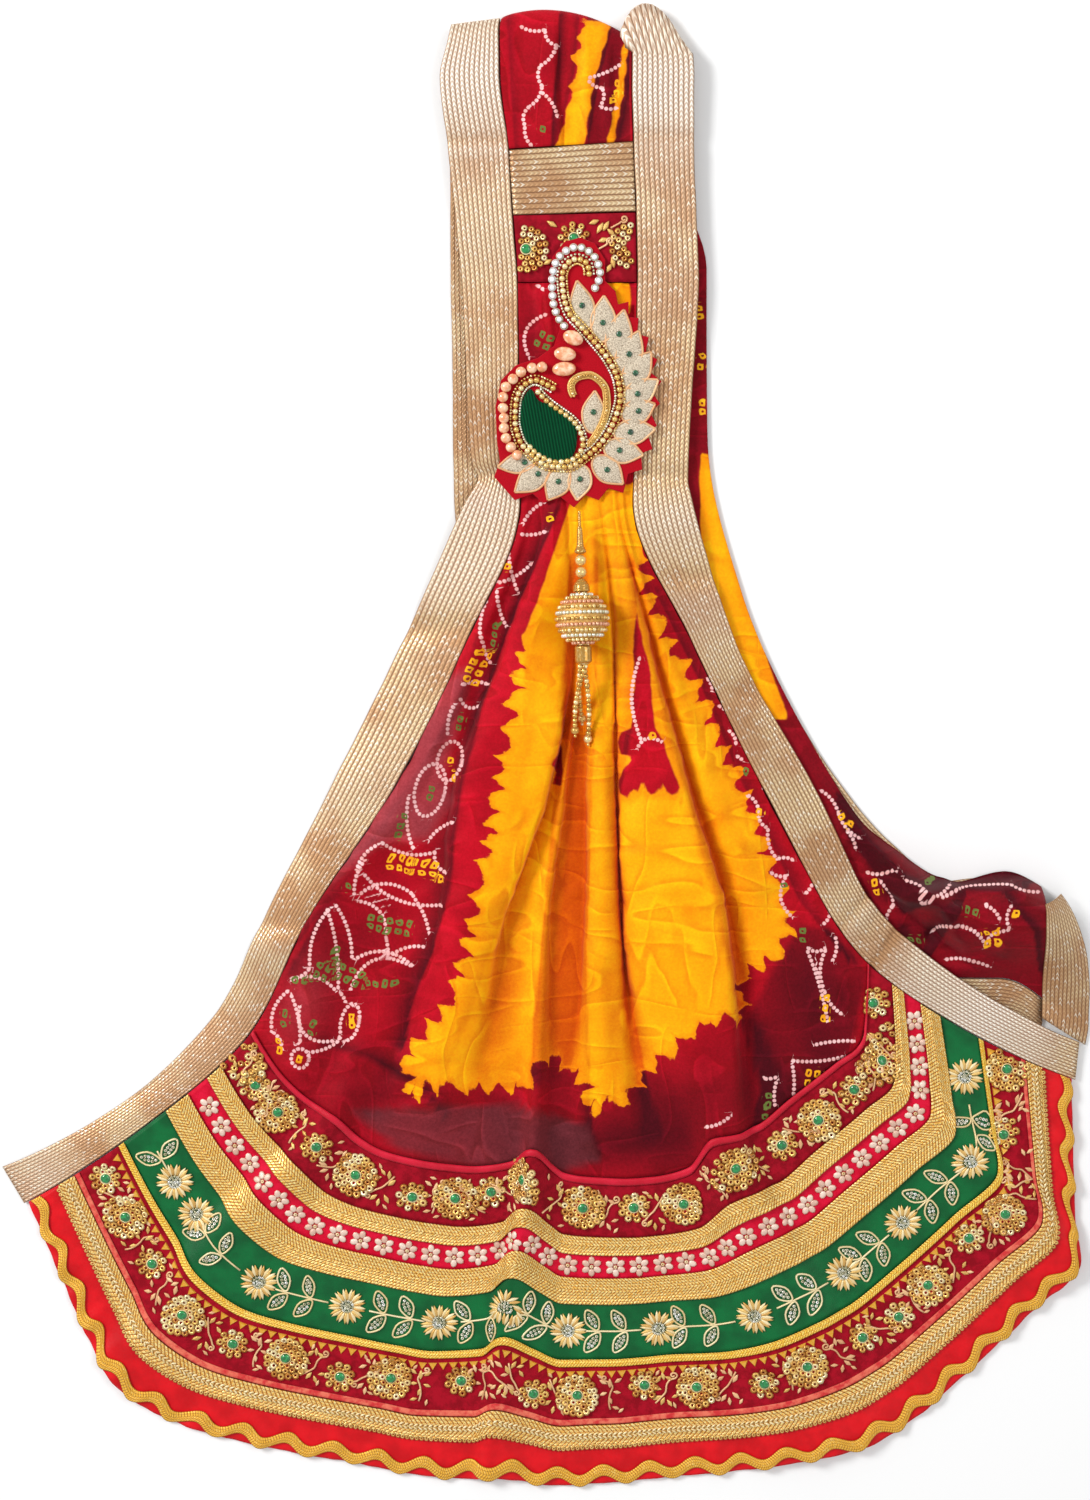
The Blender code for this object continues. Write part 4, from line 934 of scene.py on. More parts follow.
upperPleats = (
    (0.0,0.0), (0.2,0.8), (0.41,2.0), (0.45,-1.6), (0.6,-0.4), (0.66,1.8), (0.72,0.4), (0.82,1.2), (0.87,-1.2),
    (1.0,0.0),
)
heapTable = (  # place, how far it is heaped, height, bulge in x and y
    (1020,0.0,5.2,0,0), (1110,1.0,5.2,30,0), (1180,1.0,5.2,50,0), (1317,1.0,5.2,50,3), (1455,1.0,5.2,34,19),
    (1580,1.0,5.6,22,22), (1660,1.0,12,14,24), (1740,1.0,31,2,34), (1785,1.0,33,-1,31), (1820,1.0,26,-2,26),
    (1875,1.0,34,0,33), (clothEnd, 1.0, 27, 0, 26),
)
rollTable = (  # share of the way round, share across, of the bulge, of the height, least height
    (0.0,0.0,0.0,0.0,0.0), (0.14,0.2,0.0,0.16,0.0), (0.28,0.46,0.0,0.42,0.0), (0.42,0.7,0.05,0.78,0.0),
    (0.56,0.9,0.22,1.0,0.0), (0.68,1.0,0.45,1.0,4.0), (0.78,1.0,0.66,0.8,3.9), (0.85,1.0,0.81,0.55,3.5),
    (0.92,1.0,0.92,0.28,3.0), (1.0,1.0,1.0,0.0,2.3),
)


def beyondFront(points):
    # how far each point lies outside the front's right ribbon, in plan
    line = edge(4, np.linspace(hip, hem, 40))[:, :2]
    shape = points.shape[:-1]
    return lineDistance(points[..., :2].reshape(-1, 2), line)[0].reshape(shape)


def backPoints(shares, places):
    left, right = clothEdge("left", places)[:, None], clothEdge("right", places)[:, None]
    flat = left + (right - left) * shares[None, :, None]
    fade = np.interp(places, (crossbar, 905, 960, 978), (0.2, 1, 1, 0))
    flat[:, :, 2] += fade[:, None] * tableCurve(upperPleats, shares)[None, :, 0]
    puff = np.interp(places, (945, topFold, 1020), (0, 12, 0))
    flat[:, :, 1] += puff[:, None] * np.sin(np.pi * shares[None, :]).clip(0, 1) ** 0.7
    amount, height, bulgeX, bulgeY = tableCurve(heapTable, places.clip(heapTable[0][0], None)).T[:, :, None]
    across, bulge, lift, least = tableCurve(rollTable, shares).T[:, None, :]
    rolled = left + (right - left) * across[:, :, None]
    rolled[:, :, 0] += bulge * bulgeX
    rolled[:, :, 1] += bulge * bulgeY
    rolled[:, :, 2] = np.maximum(rolled[:, :, 2] + lift * height, least)
    turned = (amount**2)[:, :, None]
    points = flat * (1 - turned) + rolled * turned
    lifted = (amount * 2).clip(0, 1)
    points[:, :, 2] = flat[:, :, 2] * (1 - lifted) + rolled[:, :, 2] * lifted
    heaped = places > heapTable[0][0]
    beyond = beyondFront(points[heaped])
    points[heaped, :, 2] = np.minimum(points[heaped, :, 2], 5.7 + np.maximum(beyond - 13, 0) * 1.3)
    return points


backSize = {"flat": (0.13, 1.03), "columns": 97, "rows": 250, "thick": 0.6}
# Where the yellow shows on the back and the upper panel, in picture places.
panelYellow = (
    (584,20), (612,22), (600,60), (592,90), (584,150), (552,152), (564,125), (572,90), (575,60),
)
panelStrip = ((629, 36), (624, 90), (612, 150), (606, 150), (616, 95), (622, 50))
legYellow = ((700, 452), (712, 455), (724, 520), (745, 600), (790, 720), (740, 720), (700, 560))


def makeBackCloth():
    shares = np.linspace(0, 1, backSize["columns"])
    parts = (crossbar + 0.3, 1020, 60), (1024, 1560, 60), (1564, clothEnd, 130)
    places = np.concatenate([np.linspace(*part) for part in parts])
    points = backPoints(shares, places)
    spots = picturePlace(points)
    normals = gridNormals(points)
    x, y = spots[..., 0], spots[..., 1]
    front = np.interp(places, (970, 990), (1, 0))[:, None]
    crumple = noise2(x / 16, y / 22, 8) * 0.5 * front
    heap = np.interp(places, (1560, 1680, clothEnd - 30, clothEnd - 4), (0, 1, 1, 0.05))[:, None]
    heap = heap * np.sin(np.pi * shares.clip(0, 1))[None] ** 0.5
    crumple = crumple - (noise2(x / 30, y / 18, 9) * 2.8 + (0.5 - abs(noise2(x / 20, y / 15, 10))) * 2.4) * heap
    points = points + normals * crumple[..., None]
    raised = addWrinkles(points, normals, spots, heapWrinkles)
    points = points + (raised - points) * heap[..., None]
    points[..., 2] = np.maximum(points[..., 2], 0.6)
    flat = spots.reshape(-1, 2)
    isFront = np.broadcast_to((places < 985)[:, None], x.shape).reshape(-1)
    panel, fieldAlong = areaDistance(flat, panelYellow)
    strip, leg = areaDistance(flat, panelStrip)[0], areaDistance(flat, legYellow)[0]
    fieldDistance = np.where(isFront, np.minimum(panel, strip), leg).clip(None, 99)
    below = cavity(points, 8)
    shadow = np.where(places[:, None] < 985, shadowOf(spots, panelShadows), shadowOf(spots, heapShadows))
    dark = np.where(places[:, None] < 985, 0.12 + 0.5 * ((x > 588) & (x < 630)), 0.6)
    # painted shade in the hollows and painted shadow beside the panel's pleats and the heap's folds
    dark = dark + (abs(below) / 14).clip(0, 0.3) + shadow * 0.8
    ragged = 0.12 + 0.6 * softSpot(flat, 574, 55, 12, 42)
    # the third tint, painted shade in the hollows and beside the folds, darkens the yellow
    values = dyeAndShadeValues(spots, (fieldDistance, fieldAlong, ragged), (backLines, (), backSquares),
                       (np.zeros_like(x), dark.clip(0, 1), (below / 6 + shadow * 0.6).clip(0, 1)))
    uv = uvGrid(shares * 0.3, places * mm)
    piece = addGrid("backCloth", points, backSize["thick"], 0.0, uv, values)
    # the same material, with painted shade from the tints
    return finishPiece(piece, clothShader("dyed georgette with painted shade, back"), ("back_cloth",))


backCloth = makeBackCloth()
print("back cloth done")

ribbonLook = {"ridges": 12, "perRidge": 3, "ridgeHeight": 0.45, "thick": 0.7}


def ribbonShader():
    s = Shader("champagne braid ribbon", 0.36, 0.55)
    u, v = s.uv()
    ridge = u * ribbonLook["ridges"]
    number = ridge.floor()
    inRidge = ridge.fract() - 0.5
    slant = abs(inRidge) * 1.6
    step = v / 0.0034 + (slant + number * 0.5)
    stitch = abs(step.fract() - 0.5)
    knot = s.ramp(stitch + abs(inRidge) * 0.5, 0.16, 0.42)
    groove = s.ramp(abs(inRidge), 0.34, 0.48)
    speck = s.node("TexWhiteNoise", s.node("CombineXYZ", number, step.floor()), noise_dimensions="2D")
    paintedSpeckGlint = s.ramp(speck, 0.55, 1.0)
    cloudy = s.noise(0.018, detail=4)
    base = s.blend(s.ramp(cloudy, 0.4, 0.6), srgb(200, 156, 112), srgb(238, 216, 172))
    # painted highlight where the ribbon bends
    base = s.blend(s.attribute("paintedHighlight", "Fac"), base, srgb(252, 248, 236))
    # painted shade towards the edges of each ridge
    rounded = s.ramp(abs(inRidge), 0.08, 0.42)
    base = s.blend(rounded * 0.45, base, srgb(186, 138, 96))
    # painted glints on the threads, then painted shade between the stitches and in the grooves between ridges
    colour = s.blend(paintedSpeckGlint * (1.0 - knot) * 0.7, base, srgb(255, 250, 234))
    colour = s.blend(knot * 0.6, colour, srgb(168, 120, 80))
    colour = s.blend(groove * 0.8, colour, srgb(122, 82, 52))
    s.colour(colour)
    s.put(s.out.inputs["Roughness"], 0.3 + knot * 0.25)
    # less metallic under the painted highlight, so that it reads paler
    s.put(s.out.inputs["Metallic"], 0.55 - s.attribute("paintedHighlight", "Fac") * 0.4)
    s.set("Specular IOR Level", 0.6)
    height = 1.0 - knot * 0.6 - groove
    s.bump(height, 0.5, 0.0005)
    return s.material


ribbonMaterial = ribbonShader()
# Soft bends across each ribbon: place along it, half width, height in mm, painted highlight added.
ribbonBends = {
    "left": ((0,60,0.2,0.3), (945,50,0.6,0.6), (898,5,-1.2,-0.2), (840,30,0.5,0.2), (30,20,0.8,0.2),
    (150,30,-0.8,0.0), (330,24,1.0,0.15), (355,10,-0.8,-0.2), (452,24,0.8,0.15), (610,40,1.2,0.55),
             (567,8,-1.4,-0.5), (560,6,-1.0,-0.3), (655,20,1.0,0.5), (675,8,-1.6,-0.4), (935,60,0.4,0.45),
             (892,4,0.8,0.3)),
    "right": ((105,62,0.8,1.1), (945,50,0.6,0.6), (898,5,-1.2,-0.2), (800,30,0.5,0.2), (40,22,0.8,0.25),
    (180,30,1.2,0.35), (226,8,-1.4,-0.3), (330,24,0.8,0.2), (352,8,-1.0,-0.2), (470,26,0.8,0.1),
              (520,8,-1.2,-0.35), (580,26,1.0,0.2), (600,7,-1.2,-0.3), (640,22,1.2,0.5), (672,8,-1.4,-0.3),
              (935,60,0.4,0.45)),
}


def ribbonSheet(name, first, second, crown, replaced, bends=(), rolls=None, dome=None):
    # rows of points from the first edge to the second become a ridged ribbon
    share = np.linspace(0, 1, ribbonLook["ridges"] * ribbonLook["perRidge"] + 1)
    points = first[:, None] * (1 - share[None, :, None]) + second[:, None] * share[None, :, None]
    points[..., 2] += crown[:, None] * (4 * share * (1 - share))[None]
    if dome is not None:
        points[..., 1] += dome[:, None] * (np.sin(np.pi * share**0.85).clip(0, 1) ** 0.6)[None]
    normals = gridNormals(points)
    distance = travel((first + second) / 2)
    paintedHighlight = np.zeros(points.shape[:2])
    lift = np.zeros(points.shape[:2])
    for place, halfWidth, height, highlightHere in bends:
        hump = np.exp(-(((rolls - place) / halfWidth) ** 2))[:, None]
        lift += hump * height
        paintedHighlight += hump * highlightHere
    lift += noise2(distance[:, None] / 46, share[None] * 1.4, len(first)) * 0.5
    ridge = abs(((share * ribbonLook["ridges"]) % 1) - 0.5) * 2
    lift += (np.sqrt(1 - ridge**2 * 0.9) * ribbonLook["ridgeHeight"])[None]
    along = distance[:, None]
    wander = np.stack((noise2(along / 30, share[None] * 0.2 + 3, 21),
            noise2(along / 34, share[None] * 0.2, 22)), -1)
    points = points + normals * lift[..., None]
    points[..., :2] += wander * 0.4
    points[..., 2] = np.maximum(points[..., 2], 0.75)
    uv = uvGrid(share, distance * mm)
    piece = addGrid(name, points, ribbonLook["thick"], -1.0, uv)
    # the painted highlight of the bends, a little wavy, goes on as an attribute
    made = piece.data.attributes.new("paintedHighlight", "FLOAT", "POINT")
    values = np.tile((paintedHighlight + noise2(along / 60, share[None], 31) * 0.12).ravel(), 2)[:len(piece.data.vertices)]
    made.data.foreach_set("value", np.clip(values, 0, 1).astype(np.float32))
    finishPiece(piece, ribbonMaterial, (replaced,))


def makeSideRibbons():
    places = np.concatenate((np.arange(hem, 960, 3.6), np.arange(960, 1030, 2.5),
            np.arange(1030, clothEnd + 1, 9.0)))
    places[-1] = clothEnd
    for side, first, second, replaced in (("left", 1, 2, "side_ribbon_left"),
            ("right", 3, 4, "side_ribbon_right")):
        near, far = edge(first, places), edge(second, places)
        crown = np.interp(places, (hem, 80, knee, hip, waist), (0, 2.0, 2.0, 1.2, 0))
        dome = None
        if side == "right":
            # the ribbon is puffed up where it goes over the top
            puff = np.interp(places, (973, topFold, 993, 1020), (0, 1, 0.9, 0))
            near += puff[:, None] * (-9, -5, 3)
            far += puff[:, None] * (-7, -4, 0)
            dome = puff * 30
        ribbonSheet("sideRibbon" + side.title(), near, far, crown, replaced, ribbonBends[side], places,
                dome=dome)


makeSideRibbons()


def makeCrossbar():
    places = np.linspace(yoke + 0.3, crossbar - 0.3, 2)
    left, right = clothEdge("left", places), clothEdge("right", places)
    share = np.linspace(0, 1, 30)[:, None]
    bottom = left[0] * (1 - share) + right[0] * share
    top = left[1] * (1 - share) + right[1] * share
    ribbonSheet("crossbarRibbon", top, bottom, np.zeros(30), "crossbar_ribbon", rolls=share[:, 0])


makeCrossbar()


def makeEndRibbon():
    rows = np.linspace(-0.12, 0.78, 46)
    shares = np.linspace(0, 1, 60)
    lastRow = backPoints(shares, np.array((clothEnd - 0.5, clothEnd)))[-1]
    inner = smoothCurve(shares, lastRow, rows.clip(0.02, None)) + (-1.4, 0, 1.5)
    inner[:, 1] -= 14 * (0.02 - rows).clip(0, None) / 0.14
    outerRows = ((-0.12, 387, -213, 0.5), (0.0, 389, -198, 0.5), (0.2, 389, -178, 2), (0.4, 386, -152, 4),
                 (0.55, 380, -130, 6), (0.7, 371, -111, 7), (0.8, 363, -100, 7))
    outer = tableCurve(outerRows, rows) - middle
    ribbonSheet("endRibbon", outer, inner, np.full(46, 3.0), "end_ribbon", rolls=rows)


makeEndRibbon()
print("ribbons done")

bandTable = {  # start and end from the seam (0) to the hem (1), height above the cloth, rows
    "seamPiping": (0.0, 0.022, 2.0, 4, "seam_piping", "piping"),
    "innerEmbroideredBand": (0.022, 0.175, 0.8, 12, "inner_embroidered_band", "maroon"),
    "goldLaceInner": (0.175, 0.238, 2.4, 14, "gold_lace_inner", "gold"),
    "flowerLace": (0.238, 0.315, 0.8, 8, "flower_lace", "pink"),
    "goldLaceMiddle": (0.315, 0.408, 2.4, 18, "gold_lace_middle", "gold"),
    "sunflowerBand": (0.408, 0.585, 0.8, 12, "sunflower_band", "green"),
    "zigzagLace": (0.585, 0.611, 2.2, 8, "zigzag_lace", "yellow"),
    "outerEmbroideredBand": (0.611, 0.795, 0.8, 14, "outer_embroidered_band", "maroon"),
    "edgingTape": (0.775, 0.795, 1.9, 4, "edging_tape", "pink"),
    "goldLaceOuter": (0.795, 0.868, 2.4, 16, "gold_lace_outer", "gold"),
    "satinFlounce": (0.868, 0.985, 0.8, 16, "satin_flounce", "satin"),
}


def placeOf(fraction):
    return border * (1 - fraction)


def stitchNoise(s, pitch=0.45):
    place = s.split(s.place())
    a = (place[0] * (tau / pitch)).sine()
    b = (place[1] * (tau / pitch)).sine()
    return 0.5 + a * b * 0.5


def plainClothShader(name, dark, light, roughness=0.7, sheen=0.08):
    s = Shader(name, roughness)
    weave = stitchNoise(s, 0.7)
    cloudy = s.noise(0.12, detail=5, rough=0.7)
    colour = s.blend(s.ramp(cloudy, 0.38, 0.62), dark, light)
    colour = s.blend(weave * 0.18, colour, light)
    s.colour(colour)
    s.set("Sheen Weight", sheen).set("Sheen Roughness", 0.4).set("Specular IOR Level", 0.1)
    s.bump(weave + s.noise(0.5, detail=4), 0.3, 0.0004)
    return s.material


def satinShader(name, dark, light):
    s = Shader(name, 0.38)
    cloudy = s.noise(0.06, detail=4)
    colour = s.blend(s.ramp(cloudy, 0.3, 0.7), dark, light)
    s.colour(colour)
    s.set("Sheen Weight", 0.05).set("Anisotropic", 0.4).set("Specular IOR Level", 0.22)
    s.bump(stitchNoise(s, 0.5) + s.noise(0.25, detail=5), 0.25, 0.0005)
    return s.material


def goldLaceShader(name, bright, mid, dark, pitch, widthMm, metallic=0.32):
    # braided metal thread: slanting plaits along the band with a chain in the middle
    s = Shader(name, 0.34, metallic)
    u, v = s.uv()
    across = v * 1000.0
    along = u * 1000.0
    fromMiddle = abs(across - widthMm / 2)
    slant = ((along + fromMiddle * 0.9) / pitch).fract()
    plait = s.ramp(abs(slant - 0.5), 0.5, 0.2)
    rows = (across / 2.4).fract()
    groove = s.ramp(abs(rows - 0.5), 0.34, 0.5)
    sparkle = s.ramp(s.noise(0.9, detail=2, rough=0.8), 0.46, 0.56)
    # painted shade at the plaits' edges, painted glints on the plaits and painted shade in the grooves between the
    # cord rows
    colour = s.blend(plait, dark, mid)
    colour = s.blend(sparkle * plait, colour, bright)
    colour = s.blend(groove * 0.65, colour, dark)
    s.colour(colour)
    s.bump(plait - groove, 0.6, 0.0006)
    return s.material


goldTones = srgb(255, 240, 164), srgb(248, 188, 72), srgb(172, 92, 14)
looks = {
    "seamPiping": satinShader("piping satin", srgb(190, 14, 40), srgb(214, 26, 56)),
    "innerEmbroideredBand": plainClothShader("maroon ground", srgb(130, 4, 22), srgb(164, 10, 34)),
    "outerEmbroideredBand": plainClothShader("maroon ground, outer", srgb(134, 4, 22), srgb(168, 10, 34)),
    "flowerLace": plainClothShader("pink lace ground", srgb(196, 6, 40), srgb(220, 18, 56), 0.5),
    "edgingTape": plainClothShader("pink edging", srgb(204, 40, 50), srgb(232, 120, 96), 0.5),
    "sunflowerBand": satinShader("green satin", srgb(0, 84, 40), srgb(0, 106, 52)),
    "satinFlounce": satinShader("red satin", srgb(196, 0, 14), srgb(226, 8, 24)),
    "goldLaceInner": goldLaceShader("gold lace, inner", *goldTones, 2.6, 14.9),
    "goldLaceMiddle": goldLaceShader("gold lace, middle", *goldTones, 2.6, 21.9),
    "goldLaceOuter": goldLaceShader("gold lace, outer", srgb(255, 238, 164), srgb(244, 182, 74),
                                    srgb(166, 92, 18), 3.4, 17.2),
    "zigzagLace": goldLaceShader("yellow zigzag lace", srgb(255, 232, 120), srgb(250, 196, 50),
                                 srgb(206, 130, 16), 2.2, 8.3, 0.2),
}
print("band materials ready")


def laceRelief(name, along, across, width):
    # height in mm of each band's own weave
    v = across / width
    if name.startswith("goldLace"):
        cords = np.cos(across * tau / 2.4) * 0.25
        plait = np.cos((along + abs(across - width / 2) * 0.9) * tau / 3.6) * 0.22
        rim = np.exp(-(((v - 0.06) / 0.05) ** 2)) + np.exp(-(((v - 0.94) / 0.05) ** 2))
        chain = np.exp(-(((v - 0.5) / 0.1) ** 2)) * (0.5 + 0.5 * np.cos(along * tau / 6)) * 0.7
        return cords + plait + rim * 0.5 + chain
    if name == "seamPiping":
        return np.sin(np.pi * v.clip(0, 1)) * 0.9
    if name == "zigzagLace":
        return np.cos(along * tau / 3.2) * 0.25 + np.sin(np.pi * v.clip(0, 1)) * 0.4
    return np.zeros(np.broadcast(along, across).shape)


def frontColumnsAt(spacing, place):
    # columns a given distance apart along one place of the front
    line = sampleGrid(densePoints, denseColumns, np.full(len(denseColumns), place))
    distance = travel(line)
    count = int(distance[-1] / spacing) + 1
    wanted = np.linspace(0, distance[-1], count)
    return np.interp(wanted, distance, denseColumns), wanted


def puckerLift(columns, places):
    # the gathered satin, flat at its upper edge and puckered at the hem, in mm
    line = sampleGrid(densePoints, denseColumns, np.full(len(denseColumns), placeOf(0.926)))
    along = np.interp(columns, denseColumns, travel(line))
    share = ((placeOf(0.868) - places) / (placeOf(0.868) - placeOf(0.985))).clip(0, 1)
    pucker = noise2(along / 9, share * 0.8, 41) * 1.1 + noise2(along / 4.2, share * 1.5, 42) * 0.5
    return (pucker * 1.5 + 0.9) * share * 0.9


def makeBands():
    for name, (start, end, height, rows, node, slot) in bandTable.items():
        # a strip runs on under the raised laces beside it
        under = 0 if height > 1 else 1.7
        upper, lower = placeOf(start) - 0.3 + under, placeOf(end) + 0.3 - (0 if name == "satinFlounce" else under)
        fine = name.startswith("goldLace") or name == "zigzagLace"
        spacing = 1.3 if fine else 3.2
        columns, along = frontColumnsAt(spacing, (upper + lower) / 2)
        columns[0], columns[-1] = 0, lastColumn
        places = np.linspace(lower, upper, rows + 1)
        points, normals = frontSheet(columns, places)
        width = upper - lower
        across = (places - lower)[:, None]
        lift = height - 0.2 + laceRelief(name, along[None], across, width)
        if name == "satinFlounce":
            lift = lift + puckerLift(columns[None], places[:, None])
        if name in ("innerEmbroideredBand", "outerEmbroideredBand", "sunflowerBand"):
            lift = lift + noise2(along[None] / 14, across / 9, 43) * 0.25 + 0.1
        if name == "goldLaceOuter":
            # small loops along the lower edge
            loop = (0.5 + 0.5 * np.cos(along * tau / 4.4)) * 1.5
            shrink = np.clip(1 - (places - lower) / 3.2, 0, 1)[:, None]
            along3 = unit(np.gradient(points, axis=0))
            points = points + along3 * (loop[None] * shrink)[..., None]
        points = points + normals * lift[..., None]
        points[..., 2] = np.maximum(points[..., 2], 0.75)
        uv = uvGrid(along * mm, (places - lower) * mm)
        piece = addGrid(name, points, 0.7, -1.0, uv)
        finishPiece(piece, looks[name], (node,))


makeBands()
print("bands done")

braidLook = {"waves": 31, "swing": 3.7, "width": 8.6, "middle": 0.955, "lift": 2.0}


def braidShader():
    s = Shader("rick-rack braid", 0.42, 0.35)
    u, v = s.uv()
    twill = (u * 620.0 + abs(v - 0.5) * 3.0).fract()
    thread = s.ramp(abs(twill - 0.5), 0.48, 0.2)
    lines = s.ramp(abs((v * 4.0).fract() - 0.5), 0.34, 0.5)
    # painted shade between the twill threads, painted glints, and painted shade in the grooves along the braid
    colour = s.blend(thread, srgb(186, 112, 16), srgb(250, 192, 64))
    colour = s.blend(s.ramp(s.noise(0.9), 0.55, 0.75), colour, srgb(255, 222, 130))
    colour = s.blend(lines * 0.6, colour, srgb(140, 78, 18))
    s.colour(colour)
    s.bump(thread - lines, 0.5, 0.0005)
    return s.material


def makeBraid():
    middlePlace = placeOf(braidLook["middle"])
    columns, along = frontColumnsAt(1.9, middlePlace)
    wave = np.sin(along / along[-1] * braidLook["waves"] * tau) * braidLook["swing"]
    across = np.linspace(-0.5, 0.5, 9)
    rows = []
    for share in across:
        place = middlePlace + wave + share * braidLook["width"]
        point, normal = surfaceAt(columns, place)
        lift = braidLook["lift"] + 0.55 * np.cos(share * pi) + 0.12 * np.cos(share * 8 * pi)
        lift = lift + puckerLift(columns, place)
        rows.append(point + normal * lift[:, None])
    points = np.array(rows)
    points[..., 2] = np.maximum(points[..., 2], 1.2)
    uv = uvGrid(along * mm, across + 0.5)
    piece = addGrid("rickrackBraid", points, 0.9, -1.0, uv)
    finishPiece(piece, braidShader(), ("rickrack_braid",))


makeBraid()


def makeYoke():
    places = np.linspace(seam + 0.3, yoke - 0.3, 16)
    share = np.linspace(0, 1, 40)
    left, right = clothEdge("left", places)[:, None], clothEdge("right", places)[:, None]
    points = left * (1 - share[None, :, None]) + right * share[None, :, None]
    points[..., 2] += 0.4 + noise2(share[None] * 6, places[:, None] / 9, 51) * 0.2
    uv = uvGrid(share * 0.085, places * mm)
    piece = addGrid("yokeBand", points, 0.7, -1.0, uv)
    finishPiece(piece, looks["innerEmbroideredBand"], ("yoke_band",))


makeYoke()
print("braid and yoke done")

def threadShader(name, dark, light, metallic=0.5, roughness=0.38):
    s = Shader(name, roughness, metallic)
    shade = s.attribute("shade", "Fac")
    fibre = s.noise(2.4, detail=4, rough=0.7)
    # tone that differs from copy to copy and across the fibres, with painted glints on the highest fibres
    colour = s.blend((shade + fibre) * 0.5, dark, light)
    colour = s.blend(s.ramp(fibre, 0.6, 0.75), colour, tuple(min(1.0, value * 1.5) for value in light))
    s.colour(colour)
    s.bump(fibre, 0.5, 0.0005)
    return s.material


def glintShader(name, dark, mid, light, roughness=0.24):
    # plated metal with painted glints: paler on some copies than on others, and in patches
    s = Shader(name, roughness, 0.6)
    shade = s.attribute("shade", "Fac")
    colour = s.blend(s.ramp(shade, 0.0, 0.55), dark, mid)
    colour = s.blend(s.ramp(shade, 0.55, 1.0), colour, light)
    paintedGlintPatch = s.noise(0.8, detail=3)
    colour = s.blend(s.ramp(paintedGlintPatch, 0.5, 0.75) * 0.35, colour, light)
    s.colour(colour)
    s.bump(paintedGlintPatch, 0.2, 0.0004)
    return s.material


def stoneShader(name, dark, light, roughness=0.12):
    s = Shader(name, roughness)
    colour = s.blend(s.ramp(s.noise(0.6, detail=3), 0.35, 0.65), dark, light)
    s.colour(colour)
    s.set("Coat Weight", 0.8).set("Coat Roughness", 0.08).set("Specular IOR Level", 0.7)
    s.bump(s.noise(0.9), 0.1, 0.0003)
    return s.material


thread = {
    "gold": threadShader("gold thread", srgb(196, 140, 62), srgb(248, 212, 132)),
    "pale": threadShader("pale gold thread", srgb(220, 188, 120), srgb(255, 242, 200), 0.3),
    "rose": threadShader("rose gold thread", srgb(204, 138, 92), srgb(252, 212, 160), 0.3),
    "sequin": glintShader("gold sequins", srgb(196, 130, 54), srgb(242, 194, 104), srgb(255, 236, 184)),
    "silver": glintShader("silver sequins", srgb(196, 190, 150), srgb(236, 232, 206), srgb(255, 255, 250)),
    "beads": glintShader("gold beads", srgb(190, 142, 66), srgb(230, 188, 104), srgb(255, 240, 186), 0.18),
    "stone": stoneShader("green stones", srgb(0, 96, 44), srgb(10, 150, 72)),
    "silverPink": threadShader("silver pink thread", srgb(206, 150, 124), srgb(255, 236, 220), 0.3),
    "orangeGold": threadShader("orange gold thread", srgb(206, 136, 84), srgb(250, 210, 160), 0.3),
    "roseBeads": threadShader("rose beads", srgb(214, 140, 110), srgb(255, 206, 170), 0.6, 0.25),
    "whiteStone": stoneShader("white rhinestones", srgb(226, 232, 240), srgb(255, 255, 255), 0.06),
    "darkStone": stoneShader("dark green stones", srgb(2, 50, 26), srgb(20, 96, 54)),
}

# Flowers of the two embroidered bands in picture places, from the left end to the right.
innerBig = (
    (236,1049), (276,1113), (357,1172), (455,1196), (525,1172), (583,1204), (683,1200), (735,1165), (820,1125),
    (885,1065),
)
innerSmall = (
    (255,1085), (316,1146), (412,1197), (491,1188), (634,1204), (782,1145), (855,1090), (870,1000),
)
outerBig = (
    (126,1218), (182,1317), (284,1357), (391,1374), (577,1395), (695,1387), (806,1365), (928,1282),
    (1003,1210), (1010,1070),
)
outerSmall = (
    (107,1180), (152,1262), (232,1342), (340,1380), (461,1378), (533,1397), (645,1383), (764,1384), (862,1337),
    (900,1318), (967,1236), (1000,1130),
)
sunflowers = (
    (174,1182), (195,1215), (260,1283), (348,1307), (439,1322), (505,1305), (568,1330), (658,1332), (755,1318),
    (845,1275), (905,1222), (968,1157), (950,1065),
)
flowerLook = {"bigRings": ((6.0,9), (10.0,13), (13.8,18)), "smallRings": ((5.6,7),
(9.0,9)), "sequin": 3.0, "stone": 3.7, "rise": 1.1}


class Pile:
    # copies of one seed gathered for one mesh
    def __init__(self, seed):
        self.seed, self.centres, self.axes, self.sizes, self.shades = seed, [], [], [], []

    def add(self, centre, axes, size, shade=None):
        # axes are three unit vectors
        self.centres.append(centre)
        self.axes.append(axes)
        self.sizes.append(np.broadcast_to(size, 3))
        self.shades.append(rng.uniform() if shade is None else shade)

    def make(self, name, material, slot, smooth=True):
        points, seedFaces = seeds[self.seed]
        local = points[None] * np.array(self.sizes, float)[:, None]
        turned = np.einsum("nvi,nij->nvj", local, np.array(self.axes, float))
        vertices = np.array(self.centres)[:, None] + turned
        faces = [tuple(index + first for index in face)
                 for first in range(0, len(vertices) * len(points), len(points)) for face in seedFaces]
        piece = meshPiece(name, vertices.reshape(-1, 3), faces, smooth, np.repeat(self.shades, len(points)))
        return finishPiece(piece, material)


